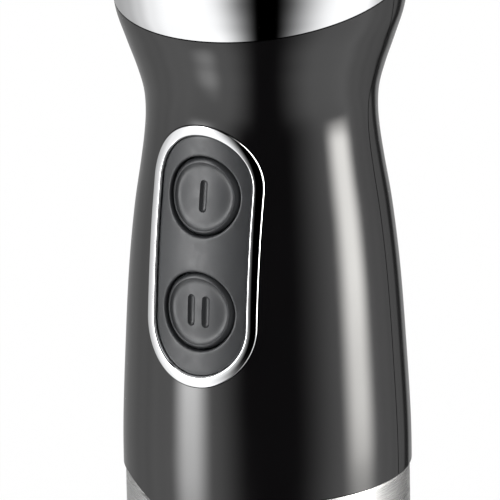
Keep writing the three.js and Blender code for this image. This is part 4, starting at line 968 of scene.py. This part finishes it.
panel = pill_bar("control_panel", PLUG_WIDE, PLUG_TALL, PANEL_FACE, LIP_DEPTH + 0.5, z=PANEL_MIDDLE, sides=96)
pick(panel, lambda c: c.y < PANEL_FACE + 0.01)
bpy.ops.mesh.bevel(offset=0.35 * MM, segments=4, affect="EDGES")
weld(panel, pill_bar("lip", LIP_WIDE, LIP_TALL, LIP_DEPTH, PANEL_BACK, z=PANEL_MIDDLE, sides=96))
for z in BUTTON_Z.values():
    rim = arc(WELL + WELL_RIM, -PANEL_FACE - WELL_RIM, WELL_RIM, 180, 90, 6)
    well = spun("well", [(0, -9), (WELL, -9), *rim, (WELL + WELL_RIM, 3), (0, 3)], 96)
    cut(panel, put(well, turn=(90, 0, 0), place=(0, 0, z)))
for i in range(-12, 13):
    score(panel, (i * GRID, 0, 0), (1, 0, 0))
for i in range(-24, 25):
    score(panel, (0, 0, PANEL_MIDDLE + i * GRID), (0, 0, 1))
wrap_on_handle(panel)
stands_for(panel, "button_panel", crease=30)

# %% [markdown]
# Each button is a soft dish for a fingertip with a rounded crest and a low step outside it. Its mark,
# one stroke for the slower speed and two for the faster, is a smooth groove, pressed in by a ball
# that has been drawn out lengthways. The button is bent to the barrel with its panel.

# %% Buttons
BUTTON_SEAT = 1.0  # depth of the button's zero height below the handle's surface
CREST = 7.3
DISH = 0.55
DOME = 0.3
shares = [i / 24 for i in range(25)]
crown_line = [(CREST * t, -DISH + DOME * (1 - t * t) + (DISH + 0.22) * t ** 14) for t in shares]
BUTTON_SIDE = [
    (7.45, 0.22), (7.62, 0.16), (7.8, 0.02), (7.98, -0.17), (8.14, -0.38), (8.25, -0.58),
    (BUTTON_RADIUS, -0.85), (BUTTON_RADIUS, -5.62), (9.8, -5.62), (9.8, -6.82), (2.5, -6.82),
    (2.5, -7.72), (0, -7.72),
]
GROOVE_RADIUS = 0.95
GROOVE_LENGTH = 7
GROOVE_DEPTH = 0.5
STROKES = {"button_low": [0], "button_high": [-1.775, 1.775]}


def groove(x):
    """A ball drawn out along the stroke, sunk so that it cuts the dish to the groove's depth."""
    clear_selection()
    centre = -DISH - GROOVE_DEPTH + GROOVE_RADIUS
    bpy.ops.mesh.primitive_uv_sphere_add(segments=32, ring_count=24, radius=GROOVE_RADIUS * MM,
                                         rotation=(math.pi / 2, 0, 0), location=mm(x, 0, centre))
    ball = new_piece("groove")
    bpy.ops.object.transform_apply(location=True, rotation=True)
    for side in (-1, 1):
        pick(ball, lambda c: c.y * side > 0.01)
        bpy.ops.transform.translate(value=mm(0, side * (GROOVE_LENGTH / 2 - GROOVE_RADIUS), 0))
    return tidy_mesh(ball)


for name, node in (("slow_button", "button_low"), ("fast_button", "button_high")):
    button = spun(name, crown_line + BUTTON_SIDE, 128)
    cut(button, *[groove(x) for x in STROKES[node]])
    wrap_on_handle(put(button, turn=(90, 0, 0), place=(0, BUTTON_SEAT, BUTTON_Z[node])))
    stands_for(button, node, crease=35)

# %% Release button
release_face, release_back = low("release_button", "y"), high("release_button", "y")
release = spun("release_push", [
    (0, release_face - release_back), (RELEASE_RADIUS, release_face - release_back),
    *arc(RELEASE_RADIUS - 0.8, -0.8, 0.8, 0, 90, 6), (2.6, -0.1), (2.2, -0.35), (1.2, -0.42), (0, -0.44),
], 64)
put(release, turn=(90, 0, 0), place=(0, release_face, RELEASE_HEIGHT))
stands_for(release, "release_button")

# %% [markdown]
# The blending foot is pressed and turned steel: a bell with four windows that let the food circulate,
# a straight tube, and a collar that flares out to meet the handle. The bell's rim is rolled.

# %% Bell
BELL_RADIUS = high("bell_guard", "x")
BELL_TOP = high("bell_guard", "z")
BELL_WALL = 1.6
BELL_SHOULDER = 14.2
BELL_HOLE = 9.7
RIM_Z = 3.0


def dome(wide, narrow, bottom, top, steps=36):
    """Points up a quarter ellipse from a wall to a shoulder."""
    turns = [math.pi / 2 * i / steps for i in range(steps + 1)]
    return [(narrow + (wide - narrow) * math.cos(a), bottom + (top - bottom) * math.sin(a)) for a in turns]


inner_top = BELL_TOP + GAP - 1 - BELL_WALL * 1.4
bell = spun("steel_bell", [
    *arc(BELL_RADIUS - BELL_WALL / 2, BELL_WALL / 2, BELL_WALL / 2, -180, 0, 10),
    *dome(BELL_RADIUS, BELL_SHOULDER, RIM_Z, BELL_TOP - 0.9),
    (BELL_SHOULDER - 0.1, BELL_TOP - 0.3), (BELL_SHOULDER - 0.5, BELL_TOP), (BELL_HOLE, BELL_TOP),
    (BELL_HOLE, inner_top), *dome(BELL_RADIUS - BELL_WALL, BELL_SHOULDER - 1, RIM_Z, inner_top)[::-1],
], SHINY_SIDES)
WINDOW = dict(wide=18, tall=9, front=-40, back=40, z=12, sides=64)
cut(bell, pill_bar("windows_ahead", **WINDOW), put(pill_bar("windows_aside", **WINDOW), turn=(0, 0, 90)))
stands_for(bell, "bell_guard")

# %% Tube and flared collar
TUBE_RADIUS = high("foot_tube", "x")
TUBE_WALL = 1.2
TUBE_FOOT = 44.0
FLARE_FOOT = low("foot_collar", "z") - GAP
FLARE_HEAD = FLARE_FOOT + 62
NECK = TUBE_RADIUS - TUBE_WALL - GAP
TUBE_BORE = TUBE_RADIUS - TUBE_WALL
HOUSING = 9.4
BUSH_BORE = 7.3

tube = spun("steel_tube", [
    *arc(TUBE_RADIUS - EDGE, TUBE_FOOT + EDGE, EDGE, -90, 0),
    *[(TUBE_RADIUS, z) for z in rows(TUBE_FOOT + 1, FLARE_FOOT - 1, 6)],
    *arc(TUBE_RADIUS - 0.15, FLARE_FOOT - 0.15, 0.15, 0, 90, 3),
    (NECK, FLARE_FOOT), (NECK, FLARE_FOOT + 8), (NECK - TUBE_WALL, FLARE_FOOT + 8),
    (NECK - TUBE_WALL, FLARE_FOOT - 2), (TUBE_BORE, FLARE_FOOT - 4), (TUBE_BORE, TUBE_FOOT + 8),
    (BUSH_BORE, TUBE_FOOT + 8), (BUSH_BORE, TUBE_FOOT - 10),
    *arc(HOUSING - 0.4, TUBE_FOOT - 9.6, 0.4, -90, 0), (HOUSING, TUBE_FOOT),
], 128)
stands_for(tube, "foot_tube")


def flare_radius(z):
    t = min(max((z - FLARE_FOOT) / (FLARE_HEAD - FLARE_FOOT), 0), 1)
    return TUBE_RADIUS + (SLEEVE_RADIUS - TUBE_RADIUS) * t * t * (3 - 2 * t)


collar_foot = FLARE_FOOT + GAP
collar = spun("flared_collar", [
    *arc(TUBE_RADIUS - 0.15, collar_foot + 0.15, 0.15, -90, 0, 3),
    *[(flare_radius(z), z) for z in rows(collar_foot + 0.6, FLARE_HEAD, 1.2)],
    *arc(SLEEVE_RADIUS - EDGE, JOINT - EDGE, EDGE, 0, 90),
    *[(flare_radius(z) - TUBE_WALL, z) for z in rows(FLARE_FOOT + GAP, JOINT, 3)][::-1],
], SHINY_SIDES)
stands_for(collar, "foot_collar")

# %% [markdown]
# Where the handle lifts off, the foot shows a moulded socket with the driven hexagon in its middle,
# and the handle shows the nose that drops into it, with the drive socket turning inside.

# %% Socket in the foot
SOCKET_FLOOR = JOINT - 20
SOCKET_RADIUS = 22.8
INSERT_RADIUS = SLEEVE_RADIUS - TUBE_WALL - GAP
insert_low = low("foot_coupling_insert", "z")
floor_back = SOCKET_FLOOR - 4
insert = spun("socket_insert", [
    (6.3, insert_low), (9, insert_low), (9, floor_back),
    (flare_radius(floor_back) - TUBE_WALL - 2 * GAP, floor_back), (INSERT_RADIUS, SOCKET_FLOOR + 4),
    (INSERT_RADIUS, JOINT - GAP), (SOCKET_RADIUS + 0.6, JOINT - GAP), (SOCKET_RADIUS, JOINT - GAP - 0.6),
    (SOCKET_RADIUS, SOCKET_FLOOR + 0.5), (SOCKET_RADIUS - 0.5, SOCKET_FLOOR), (6.3, SOCKET_FLOOR),
], 128)
cut(insert, pill_bar("latch_pocket", 9.2, 40, -27.6, -19.8, z=JOINT + 7, sides=16))
stands_for(insert, "foot_coupling_insert")

# %% Nose, drive socket and driven hexagon
NOSE_RADIUS = SOCKET_RADIUS - GAP
nose_low, nose_high = low("coupling_nose", "z"), JOINT + 3.7
nose_face = JOINT + 2 * GAP
nose = spun("coupling_nose_ring", [
    (9, nose_face), (NOSE_RADIUS - 2, nose_face), (NOSE_RADIUS - 2, nose_low + 0.4),
    (NOSE_RADIUS - 1.6, nose_low), (NOSE_RADIUS - 0.5, nose_low), (NOSE_RADIUS, nose_low + 0.5),
    (NOSE_RADIUS, nose_face), (SPIGOT_RADIUS - 0.3, nose_face), (SPIGOT_RADIUS, nose_face + 0.3),
    (SPIGOT_RADIUS, nose_high), (9, nose_high),
], 128)
cut(nose, pill_bar("latch_slot", 8.6, 20, -30, -NOSE_RADIUS, z=JOINT, sides=16))
stands_for(nose, "coupling_nose")

SHAFT_BORE = 2.8
hub_low, hex_high = low("driven_coupler", "z"), high("driven_coupler", "z")
driven = spun("driven_hexagon", [
    (0, hub_low), (4.2, hub_low), (4.2, hex_high - 1.2), (3.0, hex_high), (0, hex_high),
], 6)
hub = spun("hub", above(hub_low, [(0, 0), (5.1, 0), (5.1, 3.2), (4.8, 3.5), (0, 3.5)]), 48)
cut(weld(driven, hub), plug("shaft_hole", SHAFT_BORE, hub_low - 1, hub_low + 8.8))
stands_for(driven, "driven_coupler", crease=25)

socket_low, socket_high = low("drive_coupler", "z"), high("drive_coupler", "z")
socket = spun("drive_socket", [
    (0, socket_low), (7.0, socket_low), (7.5, socket_low + 0.5), (7.5, socket_high - 0.5), (7.0, socket_high),
    (0, socket_high),
], 64)
cut(socket, plug("hexagon", 4.6, socket_low - 1, hex_high + 0.4, 6),
    plug("top_hole", SHAFT_BORE, hex_high, socket_high + 1))
stands_for(socket, "drive_coupler", crease=25)

# %% [markdown]
# The blade is one pressing of hard steel: two swept wings from a round hub, one folded up and one
# down, each ground to an edge along its leading bow. One wing is drawn as an outline, given its
# thickness and ground flat; it is folded a little at a time, and the other is made the same way.

# %% Blade
BLADE_FACE = high("blade_nut", "z") + GAP
BLADE_THICK = 1.4
WING_FOLD = math.atan(0.22)
FOLDS = [4.6, 5.4, 6.2, 7.0]


def bow(start, pull, end, steps=12):
    """Points along a bow from start to end, drawn towards a third point."""
    shares = [((1 - t) ** 2, 2 * t * (1 - t), t * t) for t in (i / steps for i in range(steps + 1))]
    return [tuple(a * start[k] + b * pull[k] + c * end[k] for k in (0, 1)) for a, b, c in shares]


def wing(name, side):
    leading = bow((-1, 5.2), (15, 6.5), (24, -1.5))
    piece = draw_outline(name, leading + bow((22.8, -4), (12, -3.2), (1, -5.2)))
    bpy.ops.mesh.edge_face_add()
    extrude(0, -BLADE_THICK, 0)
    put(tidy_mesh(piece), turn=(-90, 0, 0))
    top = BLADE_THICK - 0.01
    pick(piece, lambda c: c.z > top and any(math.hypot(c.x - x, c.y - y) < 0.01 for x, y in leading))
    bpy.ops.mesh.bevel(offset=1.2 * MM, segments=1, affect="EDGES")
    for fold in FOLDS:
        score(piece, (fold, 0, 0), (1, 0, 0))
    for fold in FOLDS[::-1]:
        pick(piece, lambda c: c.x > fold + 0.01)
        bpy.ops.transform.rotate(value=side * WING_FOLD / len(FOLDS), orient_axis="Y",
                                 center_override=mm(fold, 0, BLADE_THICK / 2))
    return put(piece, turn=(0, 0, 0 if side > 0 else 180), place=(0, 0, BLADE_FACE + 0.01 * side))


blade = spun("cutting_blade", above(BLADE_FACE, [
    (0, -0.1), (5.8, -0.1), (6, 0.1), (6, BLADE_THICK - 0.1), (5.8, BLADE_THICK + 0.12),
    (0, BLADE_THICK + 0.12),
]), 64)
weld(blade, wing("upper_wing", 1), wing("lower_wing", -1))
stands_for(cut(blade, plug("root_hole", SHAFT_BORE, 0, 30, 48)), "blade", crease=20)
heights = [corner.co.z / MM for corner in blade.data.vertices]
print("blade from", round(min(heights), 1), "to", round(max(heights), 1))

# %% Blade nut
nut_low, nut_high = low("blade_nut", "z"), high("blade_nut", "z")
nut = plug("domed_nut", 5, nut_low, nut_high, 6)
combine(nut, spun("turned", [
    (0, nut_low), *arc(0, nut_low + 2.4, 2.4, -80, -60, 2), (3.4, nut_low + 0.5), (4.6, nut_low + 1.3),
    (5.05, nut_low + 2.2), (5.05, nut_high - 0.4), (4.5, nut_high), (0, nut_high),
], 64), "INTERSECT")
stands_for(cut(nut, plug("thread", SHAFT_BORE, nut_low + 1.5, 40)), "blade_nut", crease=25)
